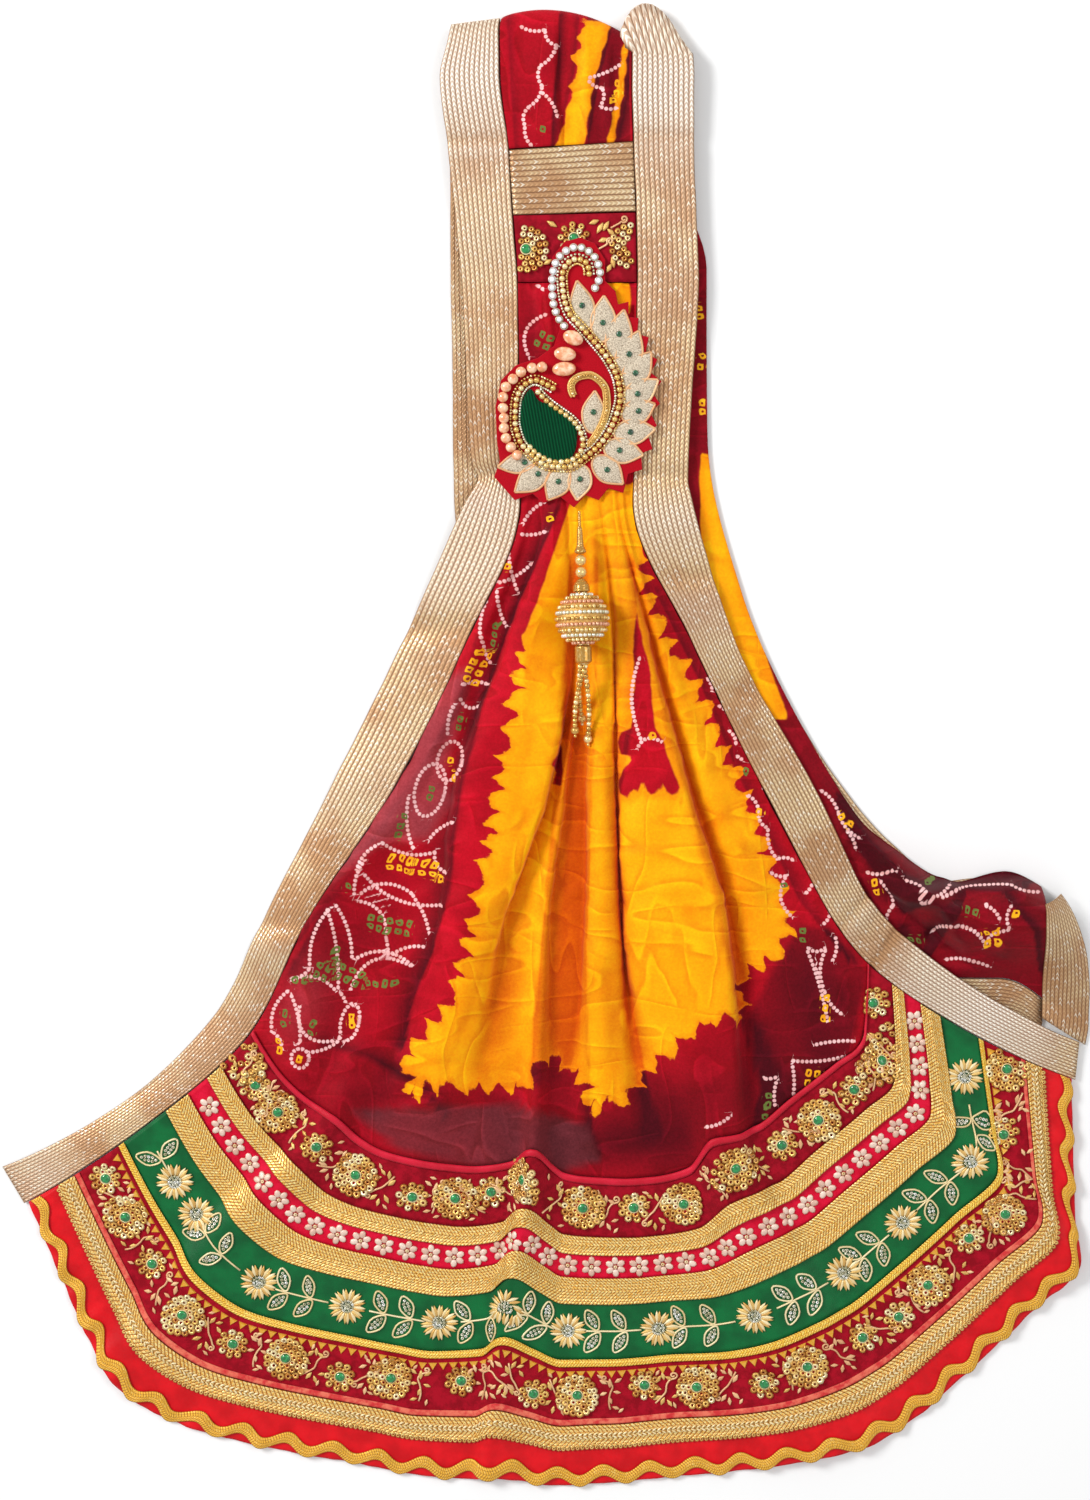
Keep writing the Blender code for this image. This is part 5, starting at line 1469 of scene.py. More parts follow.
def turnedAxes(along, up, normal, angle, lean=0.0):
    # the axes turned about the normal, then leaned forwards
    first = along * cos(angle) + up * sin(angle)
    second = up * cos(angle) - along * sin(angle)
    if lean:
        first, normal = first * cos(lean) + normal * sin(lean), normal * cos(lean) - first * sin(lean)
    return np.array((first, second, normal))


def onCloth(column, place, dx, dy, rise):
    # the axes and raised point a step away from a spot of the border, or nothing past its ends
    nextColumn, nextPlace = shifted(column, place, dx, dy)
    if not 0.02 < nextColumn < lastColumn - 0.02 or not hem + 2 < nextPlace < border - 1:
        return None
    point, along, up, normal = surfaceFrame(nextColumn, nextPlace)
    return point + normal * rise, along, up, normal


def sew(pile, spot, dx, dy, rise, angle, size, leans=None):
    # one copy a step away from a spot of the border, where there is cloth
    found = onCloth(spot[0], spot[1], dx, dy, rise)
    if found is not None:
        lean = rng.uniform(*leans) if leans else 0.0
        pile.add(found[0], turnedAxes(*found[1:], angle, lean), size)


sequins, flowerStones, paleRings = Pile("sequin"), Pile("stone"), Pile("fineRing")
goldLeaves, roseLeaves = Pile("leaf"), Pile("leaf")
roseCords, roseUps = [], []


def addRosette(spot, rings, size=1.0):
    column, place = spot
    base = rng.uniform(0, 0.5)
    for number, (radius, count) in enumerate(rings):
        for step in range(count):
            angle = base + number * 0.3 + tau * step / count
            radiusHere = radius * size * (1 + rng.uniform(-0.04, 0.04))
            rise = flowerLook["rise"] + 0.5 * number
            found = onCloth(column, place, radiusHere * cos(angle), radiusHere * sin(angle), rise)
            if found is None:
                continue
            point, along, up, normal = found
            lean = rng.uniform(0.02, 0.4)
            radiusOf = flowerLook["sequin"] * size * rng.uniform(0.9, 1.08)
            sequins.add(point, turnedAxes(along, up, normal, angle, lean),
                    (radiusOf, radiusOf, radiusOf * 0.42))
    found = onCloth(column, place, 0, 0, flowerLook["rise"] + 0.4)
    if found is None:
        return
    point, along, up, normal = found
    radiusOf = flowerLook["stone"] * (0.9 + 0.1 * size)
    axes = turnedAxes(along, up, normal, base)
    flowerStones.add(point, axes, (radiusOf, radiusOf * 0.95, radiusOf * 0.5))
    paleRings.add(point - normal * 0.2, axes, (radiusOf * 1.18, radiusOf * 1.18, radiusOf * 1.4))


# Sprigs between flowers: leaves as dx, dy, turn in degrees, half length; then a stem that ends in a curl.
sprigs = (
    {"leaves": ((-5,8,50,3.0), (-1,10,100,2.6), (3,8,150,2.6), (-7,-6,200,3.0), (-3,-9,240,2.8),
    (2,-11,300,2.6), (6,-6,20,2.4),
                (-6,1,160,2.4)),
     "stem": ((-9,-10), (-4,-6), (0,-2), (1,3), (4,7)), "curl": (6,10,2.8,1)},
    {"leaves": ((-6,5,130,3.0), (-3,10,80,2.8), (2,11,40,2.4), (5,6,330,2.6), (-5,-8,230,3.0),
    (0,-12,270,2.6), (4,-9,310,2.8)),
     "stem": ((-7,10), (-3,4), (0,0), (4,-3), (7,-6)), "curl": (8,-9,2.6,-1)},
    {"leaves": ((-6,10,150,2.6), (0,8,90,3.0), (5,9,30,2.6), (-5,1,190,2.4), (5,0,340,2.4), (0,-5,250,2.6),
    (-4,-11,200,2.4)),
     "stem": ((0,-12), (1,-6), (0,0), (-2,5), (1,9)), "curl": (4,12,2.4,1)},
)


def clothPath(spot, steps, rise, grow=1.0, flip=1):
    path, ups = [], []
    for dx, dy in steps:
        found = onCloth(spot[0], spot[1], dx * grow * flip, dy * grow, rise)
        if found is None:
            return None, None
        path.append(found[0])
        ups.append(found[3])
    return np.array(path), np.array(ups)


def addSprig(spot, number, flip):
    look = sprigs[number % len(sprigs)]
    pile = roseLeaves if number % 2 else goldLeaves
    for dx, dy, turn, half in look["leaves"]:
        angle = radians(turn if flip > 0 else 180 - turn)
        sew(pile, spot, dx * flip, dy, 1.3, angle, (half * 1.3, half * 0.62, 0.8))
    knots = np.array(look["stem"], float)
    steps = smoothCurve(np.arange(len(knots)), knots, np.linspace(0, len(knots) - 1, 12)).tolist()
    x, y, radius, way = look["curl"]
    turns = np.linspace(0, 2.6 * pi, 18)
    start = atan2(steps[-1][1] - y, steps[-1][0] - x)
    steps += [(x + radius * (1 - 0.8 * turn / turns[-1]) * cos(start + way * turn),
               y + radius * (1 - 0.8 * turn / turns[-1]) * sin(start + way * turn)) for turn in turns[1:]]
    path, ups = clothPath(spot, steps, 1.3, 1.0, flip)
    if path is not None:
        roseCords.append(path)
        roseUps.append(ups)


def makeBandFlowers():
    for bigPlaces, smallPlaces, seedNumber in ((innerBig, innerSmall, 0), (outerBig, outerSmall, 1)):
        big, small = fromPicture(bigPlaces), fromPicture(smallPlaces)
        centre = placeOf(0.0985 if seedNumber == 0 else 0.6975)
        big[:, 1] = big[:, 1] * 0.4 + centre * 0.6
        small[:, 1] = small[:, 1] * 0.7 + centre * 0.3
        for spot in big:
            addRosette(spot, flowerLook["bigRings"])
        for spot in small:
            addRosette(spot, flowerLook["smallRings"])
        every = np.array(sorted(np.vstack((big, small)).tolist()))
        for number, (first, second) in enumerate(zip(every[:-1], every[1:])):
            gap = np.linalg.norm(surfaceAt(*second)[0] - surfaceAt(*first)[0])
            if gap > 26:
                addSprig(((first[0] + second[0]) / 2, centre), number + seedNumber, 1 if number % 2 else -1)
            if gap > 52:
                addSprig((first[0] * 0.72 + second[0] * 0.28, centre), number + 1, -1 if number % 2 else 1)
                addSprig((first[0] * 0.28 + second[0] * 0.72, centre), number + 2, 1)
            for share in (0.35, 0.65):
                spot = (first[0] * (1 - share) + second[0] * share, centre + (13 if share < 0.5 else -13))
                found = onCloth(spot[0], spot[1], 0, 0, 1.3)
                if found is not None:
                    point, along, up, normal = found
                    roseLeaves.add(point, turnedAxes(along, up, normal, rng.uniform(0, 3)), (2.8, 1.3, 0.7))


makeBandFlowers()
print("flowers placed")


# Six-petalled flowers of the pink lace
lacePetals, laceHearts = Pile("bead"), Pile("sequin")


def makeLaceFlowers():
    place = placeOf(0.2765)
    for column in frontColumnsAt(17.0, place)[0][1:-1]:
        turn = rng.uniform(-0.1, 0.1) + pi / 6
        for petal in range(6):
            angle = turn + petal * pi / 3
            sew(lacePetals, (column, place), 4.7 * cos(angle), 4.7 * sin(angle), 1.1, angle, (3.2, 2.45, 0.9))
        sew(laceHearts, (column, place), 0, 0, 1.8, 0, (1.5, 1.5, 0.9))


makeLaceFlowers()

# Sunflowers with sequined leaves on the green band
sunPetals, sunPetalsPale, tinyRings, leafRings = Pile("leaf"), Pile("leaf"), Pile("sequin"), Pile("sequin")
greenCords, greenUps = [], []
sunflowerLook = {"petals": 13, "reach": 9.0, "half": 5.0, "wide": 2.5, "leafHalf": 8.8, "leafWide": 5.0}


def addSunflower(spot):
    look = sunflowerLook
    for petal in range(look["petals"]):
        angle = tau * petal / look["petals"]
        for offset, pile in ((-0.09, sunPetals), (0.09, sunPetalsPale)):
            dx, dy = look["reach"] * cos(angle + offset), look["reach"] * sin(angle + offset)
            sew(pile, spot, dx, dy, 1.2, angle + offset * 0.4, (look["half"], look["wide"] * 0.62, 1.1))
    for radius, count in ((0.0, 1), (2.1, 6), (4.2, 12)):
        for step in range(count):
            angle = tau * step / count
            dx, dy = radius * cos(angle), radius * sin(angle)
            sew(tinyRings, spot, dx, dy, 1.5, angle, (1.15, 1.15, 0.6), (-0.2, 0.2))


def addSequinLeaf(spot, dx, dy, turn):
    angle = radians(turn)
    half, wide = sunflowerLook["leafHalf"], sunflowerLook["leafWide"]

    def turned(x, y):
        return dx + x * cos(angle) - y * sin(angle), dy + x * sin(angle) + y * cos(angle)

    steps = [turned(half * cos(t), wide * sin(t) * (1 - 0.35 * abs(cos(t))))
             for t in np.linspace(0, tau, 19)]
    path, ups = clothPath(spot, steps, 1.25)
    if path is None or np.ptp(path[:, :2], axis=0).max() > 2.15 * half:
        return
    greenCords.append(path)
    greenUps.append(ups)
    for x in (-5.2, -2.7, -0.1, 2.5, 4.9):
        for y in (-1.35, 1.35) if abs(x) < 4 else (0,):
            sew(leafRings, spot, *turned(x, y), 1.3, angle, (1.35, 1.35, 0.6), (-0.2, 0.2))


def makeGreenBand():
    spots = fromPicture(sunflowers)
    centre = placeOf(0.4965)
    spots[:, 1] = spots[:, 1] * 0.15 + centre * 0.85
    for spot in spots:
        addSunflower(spot)
    ends = [(max(spots[0][0] - 1.1, 0.1), centre), *spots, (min(spots[-1][0] + 0.4, lastColumn - 0.1), centre)]
    for first, second in zip(ends[:-1], ends[1:]):
        gap = np.linalg.norm(surfaceAt(*second)[0] - surfaceAt(*first)[0])
        if gap < 34:
            continue
        share = np.linspace(13 / gap, 1 - 12 / gap, 12)
        stemSpots = [(first[0] * (1 - t) + second[0] * t, first[1] * (1 - t) + second[1] * t) for t in share]
        frames = [onCloth(column, place, 0, 0, 1.2) for column, place in stemSpots]
        if all(found is not None for found in frames):
            greenCords.append(np.array([found[0] for found in frames]))
            greenUps.append(np.array([found[3] for found in frames]))
        for t in (0.36, 0.66) if gap > 50 else (0.5,):
            spot = first[0] * (1 - t) + second[0] * t, first[1] * (1 - t) + second[1] * t
            addSequinLeaf(spot, -5.5, 8.6, 118)
            addSequinLeaf(spot, -5.0, -8.4, 236)


makeGreenBand()
print("lace flowers and sunflowers placed")


# Teeth of the yellow lace, loops and chain of the wide gold lace
deselect()
bpy.ops.mesh.primitive_cone_add(vertices=3, radius1=1.0, radius2=0.72, depth=1.0)
seeds["tooth"] = takeSeed(lambda points: points + (0, 0, 0.5))
teeth, loops, chain = Pile("tooth"), Pile("sequin"), Pile("leaf")


def makeLaceEdges():
    place = placeOf(0.628)
    for column in frontColumnsAt(7.4, place)[0][1:-1]:
        point, along, up, normal = surfaceFrame(column, place)
        # turned half round, because the cone's first corner points along +Y and the tooth points to the hem
        teeth.add(point - up * 1.2 + normal * 0.7, np.array((-along, -up, normal)), (3.9, 3.9, 0.9))
    place = placeOf(0.866)
    for column in frontColumnsAt(3.5, place)[0][1:-1]:
        point, along, up, normal = surfaceFrame(column, place)
        loops.add(point + normal * 2.4, np.array((along, up, normal)), (1.7, 1.9, 0.9))
    place = placeOf(0.828)
    for number, column in enumerate(frontColumnsAt(3.6, place)[0][1:-1]):
        point, along, up, normal = surfaceFrame(column, place)
        for side in (-1, 1):
            axes = turnedAxes(along, up, normal, side * 0.6)
            chain.add(point + up * side * 1.25 + normal * 3.2, axes, (2.2, 0.85, 0.8))


makeLaceEdges()


yokeLeaves = (
    (552,224,150,2.8), (594,222,20,2.6), (600,228,240,3.0), (606,226,60,2.8), (611,232,320,2.4),
    (613,262,100,3.0), (609,268,60,2.4), (548,262,30,2.4), (603,240,200,2.4),
)


def makeYokeFlowers():
    # the piece of the same band above the pleats lies flat between the ribbons
    level = 13.2
    for x, y, rings in ((526, 249, "bigRings"), (574, 238, "smallRings"), (632, 246, "bigRings")):
        centre = tablePlace((x, y), level)
        for number, (radius, count) in enumerate(flowerLook[rings]):
            for step in range(count):
                angle = number * 0.3 + tau * step / count
                point = centre + np.array((radius * cos(angle), radius * sin(angle), 0.3 * number))
                limit = picturePlace(point)
                if not 519 < limit[0] < 633 or not 220 < limit[1] < 279:
                    continue
                axes = turnedAxes(*np.eye(3), angle, rng.uniform(-0.2, 0.3))
                sequins.add(point, axes, (2.35, 2.35, 1.05))
        if x < 600:
            flowerStones.add(centre, np.eye(3), (3.4, 3.3, 1.7))
            paleRings.add(centre, np.eye(3), (4.1, 4.1, 4.6))
    for x, y, turn, half in yokeLeaves:
        centre = tablePlace((x, y), level)
        goldLeaves.add(centre, turnedAxes(*np.eye(3), radians(turn)), (half * 1.5, 1.9, 0.9))
    for x, y, radius, way in ((624, 219, 2.6, 1), (610, 241, 2.4, -1)):
        centre = tablePlace((x, y), level)
        turns = np.linspace(0, 2.8 * pi, 22)
        shrink = radius * (1 - 0.8 * turns / turns[-1])
        stem = [(centre[0] - 9 + step * 3, centre[1] - 6 + step * 1.6) for step in range(3)]
        turns = turns * way - 2.4
        curl = np.stack((centre[0] + shrink * np.cos(turns), centre[1] + shrink * np.sin(turns)), -1)
        path = np.column_stack((np.vstack((stem, curl)), np.full(25, level + 0.3)))
        roseCords.append(path)
        roseUps.append(np.tile((0.0, 0, 1.0), (len(path), 1)))


makeYokeFlowers()
sequins.make("flowerSequins", thread["sequin"], "gold")
flowerStones.make("flowerStones", thread["stone"], "green")
paleRings.make("flowerStoneRings", thread["pale"], "gold")
goldLeaves.make("goldStitchedLeaves", thread["gold"], "gold")
roseLeaves.make("roseStitchedLeaves", thread["rose"], "gold")
lacePetals.make("laceFlowerPetals", thread["silverPink"], "pink")
laceHearts.make("laceFlowerHearts", thread["pale"], "pink")
sunPetals.make("sunflowerPetals", thread["gold"], "gold")
sunPetalsPale.make("sunflowerPetalsPale", thread["pale"], "gold")
tinyRings.make("sunflowerHearts", thread["silver"], "gold")
leafRings.make("leafSequins", thread["silver"], "gold")
teeth.make("zigzagTeeth", looks["zigzagLace"], "yellow", False)
loops.make("laceLoops", thread["gold"], "gold")
chain.make("laceChain", thread["pale"], "gold")
finishPiece(tubes("curlCords", roseCords, 0.75, 5, roseUps), thread["rose"])
finishPiece(tubes("leafOutlines", greenCords, 0.75, 5, greenUps), thread["pale"])
print("embroidery done")

patchLook = {"level": 13.4, "felt": 15.0}
plainSide = (
    (-35,192), (-31,203), (-33,216), (-34,240), (-30,258), (-20,268), (-5,273), (6,281), (10,292), (6,308),
    (3,324), (5,341), (13,351), (24,354), (34,350), (41,339), (41,325),
)
featherTips = (
    (48,318), (57,311), (64,300), (71,287), (77,272), (80,257), (79,242), (77,227), (74,211), (67,197),
    (54,181), (37,176), (20,171), (-1,174), (-21,176),
)


def roundOutline(points, parts):
    points = np.array(points, float)
    loop = []
    for index in range(len(points)):
        p0, p1, p2, p3 = (points[(index + shift) % len(points)] for shift in (-1, 0, 1, 2))
        for part in range(parts):
            t = part / parts
            bend = (2 * p0 - 5 * p1 + 4 * p2 - p3) * t**2 + (3 * p1 - p0 - 3 * p2 + p3) * t**3
            loop.append(0.5 * (2 * p1 + (p2 - p0) * t + bend))
    return np.array(loop)


def openCurve(points, spacing):
    # evenly spaced points along a smooth open curve, with the distance along it
    points = np.asarray(points, float)
    knots = travel(points)
    fine = smoothCurve(knots, points, np.linspace(0, knots[-1], int(knots[-1]) * 4 + 8))
    distance = travel(fine)
    count = max(int(round(distance[-1] / spacing)), 1)
    wanted = np.linspace(0, distance[-1], count + 1)
    return np.stack([np.interp(wanted, distance, fine[:, axis]) for axis in range(fine.shape[1])], -1)


def turnOutwards():
    bpy.ops.mesh.select_all(action="SELECT")
    bpy.ops.mesh.normals_make_consistent(inside=False)
    bpy.ops.object.mode_set(mode="OBJECT")


def plate(name, outline, low, high, bevel):
    # an outline extruded upwards with a soft edge
    count = len(outline)
    deselect()
    bpy.ops.mesh.primitive_circle_add(vertices=count, radius=1, fill_type="NGON")
    piece = bpy.context.object
    piece.name = piece.data.name = name
    setCoordinates(piece.data, np.column_stack((outline, np.full(count, low))))
    bpy.ops.object.mode_set(mode="EDIT")
    bpy.ops.mesh.select_all(action="SELECT")
    bpy.ops.mesh.extrude_region_move(TRANSFORM_OT_translate={"value": (0, 0, (high - low) * mm)})
    turnOutwards()
    soft = piece.modifiers.new("soft edge", "BEVEL")
    soft.width = bevel * mm
    soft.segments = 2
    bpy.ops.object.modifier_apply(modifier="soft edge")
    return piece


def feltShader():
    s = Shader("red felt", 0.95)
    fuzz = s.noise(1.4, detail=5, rough=0.7)
    s.colour(s.blend(s.ramp(fuzz, 0.3, 0.7), srgb(156, 2, 20), srgb(190, 8, 30)))
    s.set("Sheen Weight", 0.08).set("Sheen Roughness", 0.6).set("Specular IOR Level", 0.06)
    s.bump(fuzz, 0.6, 0.0006)
    return s.material


def makePatchGround():
    outline = [np.array(point, float) for point in plainSide]
    centre = np.array((22.0, 250.0))
    tips = [np.array(tip, float) for tip in featherTips]
    for tip, following in zip(tips, tips[1:] + [None]):
        outline.append(tip)
        if following is not None:
            notch = (tip + following) / 2
            outline.append(notch + unit(centre - notch) * 6.0)
    outline = np.array(outline)[::-1] - middle[:2]
    piece = plate("patchFelt", outline, patchLook["level"], patchLook["felt"], 0.35)
    finishPiece(piece, feltShader(), ("patch_felt",))


makePatchGround()
patchTop = patchLook["felt"]


def patchPlace(points, rise=0.0):
    return tablePlace(np.asarray(points, float), patchTop) + (0, 0, rise)


def velvetShader():
    s = Shader("green velvet", 0.9)
    place = s.split(s.place())
    rib = s.wave(place[0] + place[1] * 0.18, 2.1)
    nap = s.noise(1.2, detail=5, rough=0.7)
    # painted shade in the hollows between the ribs and painted light on their crests
    colour = s.blend(s.ramp(rib, 0.2, 0.9), srgb(0, 34, 20), srgb(0, 78, 44))
    colour = s.blend(nap * 0.3, colour, srgb(0, 98, 54))
    s.colour(colour)
    s.set("Sheen Weight", 0.1).set("Sheen Roughness", 0.4).set("Specular IOR Level", 0.1)
    s.bump(rib + nap, 0.8, 0.0009)
    return s.material


paisleyOutline = (
    (-10,252), (-16,243), (-18,230), (-12,215), (0,204), (12,201), (20,208), (22,222), (17,235), (6,241),
    (-4,244),
)


def makePaisley():
    # a low ribbed cushion of rings that shrink towards the middle
    outline = roundOutline(paisleyOutline, 8) - middle[:2]
    centre = outline.mean(axis=0) + (1, -3)
    vertices = []
    levels = ((1.0, -0.0), (0.995, 1.1), (0.93, 1.9), (0.82, 2.4), (0.66, 2.7), (0.46, 2.85), (0.24, 2.9))
    for shrink, height in levels:
        ring = centre + (outline - centre) * shrink
        rib = 0.22 * np.cos(ring[:, 0] * tau / 2.1 + ring[:, 1] * 0.5) * (height > 1)
        vertices.append(np.column_stack((ring, patchTop + 0.3 + height + rib)))
    piece = meshPiece("patchPaisley", np.vstack(vertices), wallFaces(len(levels), len(outline)))
    deselect()
    piece.select_set(True)
    bpy.context.view_layer.objects.active = piece
    bpy.ops.object.mode_set(mode="EDIT")
    turnOutwards()
    finishPiece(piece, velvetShader(), ("patch_paisley",))


makePaisley()

# Lines of the patch in picture places
stoneRow = (
    (595,288), (600,273), (592,254), (577,247), (563,253), (554,268), (552,283), (553,301), (558,317),
    (564,326),
)
neckRow = (
    (589,274), (587,264), (577,259), (566,265), (562,277), (563,292), (568,311), (582,328), (596,344),
    (609,361), (618,381), (620,397), (616,415), (609,431), (598,446), (585,457), (568,467), (549,466),
    (532,455), (520,441), (515,420), (516,402), (523,386), (535,380), (546,384), (553,388),
)
paisleyRow = (
    (538,392), (548,402), (560,411), (572,420), (580,431), (583,443), (578,455), (568,461), (556,462),
    (542,457), (530,447),
)
pearlRow = (
    (542,367), (532,368), (521,372), (513,379), (506,387), (503,397), (503,408), (504,418), (504,428),
    (506,438), (511,447), (517,455),
)
curlLine = (
    (574,396), (571,386), (578,377), (589,375), (599,380), (606,391), (607,405), (604,419), (598,432),
    (588,446),
)
# Feathers of the patch: foot, tip and half width, with a stone part of the way up.
feathers = (
    (587,330,577,281,11.5,0.5), (602,342,604,296,12.0,0.42), (614,358,624,310,12.5,0.5),
    (621,373,639,331,12.5,0.45), (625,387,651,352,12.5,0.4), (624,403,658,380,12.0,0.4),
    (622,418,655,404,12.0,0.5), (614,434,655,429,12.0,0.4), (604,447,643,455,12.0,0.4),
    (594,458,623,484,12.0,0.45), (582,465,577,500,11.5,0.4), (566,468,548,500,12.0,0.42),
    (548,466,515,492,12.0,0.3), (536,460,498,467,9.5,0.3), (592,433,595,391,11.0,0.5),
)


def zariShader():
    s = Shader("silver zari stitching", 0.42, 0.35)
    stitch = s.noise(1.1, detail=5, rough=0.85)
    # painted shade in the low spots between the stitches, with painted glints on the highest
    colour = s.blend(s.ramp(stitch, 0.38, 0.58), srgb(142, 118, 92), srgb(236, 222, 198))
    colour = s.blend(s.ramp(stitch, 0.62, 0.75), colour, srgb(255, 250, 238))
    s.colour(colour)
    s.bump(stitch, 0.8, 0.0008)
    return s.material


def featherWidth(x):
    # share of the half width along a feather from its foot (-1) to its tip (1)
    return np.sqrt(np.clip(1 - x**2, 0, 1)) * np.clip(1 - (x.clip(0, 1)) ** 1.6 * 0.75, 0, 1)


def featherShape(points):
    points = points.copy()
    ballWidth = np.sqrt(np.clip(1 - points[:, 0] ** 2, 1e-9, 1))
    points[:, 1] *= featherWidth(points[:, 0]) / ballWidth
    points[:, 2] *= np.where(points[:, 2] < 0, 0.2, np.where(abs(points[:, 0]) < 0.98, 0.9, 1))
    return points


def makePatchWork():
    deselect()
    bpy.ops.mesh.primitive_uv_sphere_add(segments=20, ring_count=14, radius=1, rotation=(0, pi / 2, 0))
    bpy.ops.object.transform_apply(location=False, rotation=True, scale=False)
    seeds["feather"] = takeSeed(featherShape)
    feathersPile, featherStones = Pile("feather"), Pile("stone")
    outlines = []
    level = np.array((0.0, 0.0, 1.0))
    for x0, y0, x1, y1, halfWidth, at in feathers:
        foot, tip = patchPlace((x0, y0)), patchPlace((x1, y1))
        forward = unit(tip - foot)
        side = np.cross(level, forward)
        half = np.linalg.norm(tip - foot) / 2
        wide = halfWidth * 0.705
        feathersPile.add((foot + tip) / 2 + level * 0.2, np.array((forward, side, level)), (half, wide, 1.5))
        featherStones.add(foot + (tip - foot) * at + level * 1.7, np.array((forward, side, level)),
                (2.2, 2.2, 1.4))
        turn = np.linspace(0, tau, 33)[:-1]
        x = half * np.cos(turn)
        y = wide * featherWidth(np.cos(turn)) * np.sign(np.sin(turn).round(9))
        path = (foot + tip) / 2 + forward * x[:, None] + side * y[:, None] + level * 0.45
        outlines.append(np.vstack((path, path[:1])))
    feathersPile.make("patchFeathers", zariShader(), "gold")
    featherStones.make("featherStones", thread["darkStone"], "green")
    finishPiece(tubes("featherOutlines", outlines, 0.8, 5), thread["orangeGold"])
    settings, whites = Pile("fineRing"), Pile("stone")
    for point in openCurve(patchPlace(stoneRow), 5.6):
        settings.add(point + level * 1.2, np.eye(3), (2.75, 2.75, 2.6))
        whites.add(point + level * 1.4, np.eye(3), (2.0, 2.0, 1.9))
    settings.make("rhinestoneSettings", thread["silver"], "beads")
    whites.make("rhinestones", thread["whiteStone"], "beads", False)
    beads, smallBeads, silverBeads = Pile("ball"), Pile("bead"), Pile("bead")
    for row, spacing in ((neckRow, 4.15), (paisleyRow, 4.1)):
        for point in openCurve(patchPlace(row), spacing):
            beads.add(point + level * 2.2, np.eye(3), 2.05, rng.uniform(0.35, 1))
    for row, offset, pile in ((neckRow, 3.15, smallBeads), (neckRow, -3.15, silverBeads),
                              (paisleyRow, 2.7, silverBeads), (curlLine, 0.0, smallBeads)):
        path = openCurve(patchPlace(row), 1.95)
        forward = unit(np.gradient(path, axis=0))
        for point, ahead in zip(path, forward):
            pile.add(point + np.cross(level, ahead) * offset + level * (1.2 if offset else 2.9), np.eye(3),
                    0.95)
    beads.make("patchBeads", thread["beads"], "beads")
    smallBeads.make("patchSmallBeads", thread["beads"], "beads")
    silverBeads.make("patchSilverBeads", thread["silver"], "beads")
    curl = openCurve(patchPlace(curlLine, 1.2), 1.5)
    side = np.cross(level, unit(np.gradient(curl, axis=0)))
    cords = [curl + side * offset for offset in (-1.9, -0.7, 0.7, 1.9)]
    finishPiece(tubes("patchCurl", cords, 0.8, 6), thread["gold"])
    pearls = Pile("ball")
    for x, y in pearlRow:
        pearls.add(patchPlace((x, y), 3.0), np.eye(3), (3.7, 3.7, 3.2))
    seeds["pearl"] = ballSeed(18, 12)
    ovals = Pile("pearl")
    for x, y, turn, half in ((573, 338, -22, 7.2), (565, 354, -6, 7.6), (564, 369, 4, 8.2)):
        angle = radians(turn)
        axes = np.array(((cos(angle), sin(angle), 0), (-sin(angle), cos(angle), 0), (0, 0, 1)))
        ovals.add(patchPlace((x, y), 3.2), axes, (half, 4.9, 3.4))
    pearl = Shader("peach pearls", 0.2)
    pearl.colour(pearl.blend(pearl.ramp(pearl.noise(0.25), 0.35, 0.65), srgb(228, 146, 98),
            srgb(255, 210, 172)))
    pearl.set("Coat Weight", 0.9).set("Coat Roughness", 0.1).set("Specular IOR Level", 0.7)
    pearl.bump(pearl.noise(0.5), 0.05, 0.0003)
    pearls.make("peachPearls", pearl.material, "beads")
    ovals.make("ovalPearls", pearl.material, "beads")


makePatchWork()
print("patch done")

tasselLook = {"top": (23.5,169.0,24.0), "foot": (25.5,100.0,33.0), "ballRadius": 18.6, "ballStart": 55.4,
              "rows": 13, "bead": 1.55}


def turnedPiece(name, start, direction, profile, sides, cord=0.0, pitch=2.0):
    # a shape turned about a line, with a wound cord pressed into it
    direction = unit(np.array(direction, float))
    side = unit(np.cross(direction, (0, 0, 1.0)))
    up = np.cross(side, direction)
    turn = np.arange(sides) * tau / sides
    vertices = []
    for along, radius in profile:
        wound = radius + cord * np.cos(turn + along * tau / pitch)
        ring = side * np.cos(turn)[:, None] + up * np.sin(turn)[:, None]
        vertices.append(np.array(start) + direction * along + ring * wound[:, None])
    return meshPiece(name, np.vstack(vertices), wallFaces(len(profile), sides, turned=True))


def profileOf(knots, count):
    knots = np.array(knots, float)
    where = np.linspace(knots[0, 0], knots[-1, 0], count)
    return list(zip(where, smoothCurve(knots[:, 0], knots[:, 1:], where)[:, 0]))


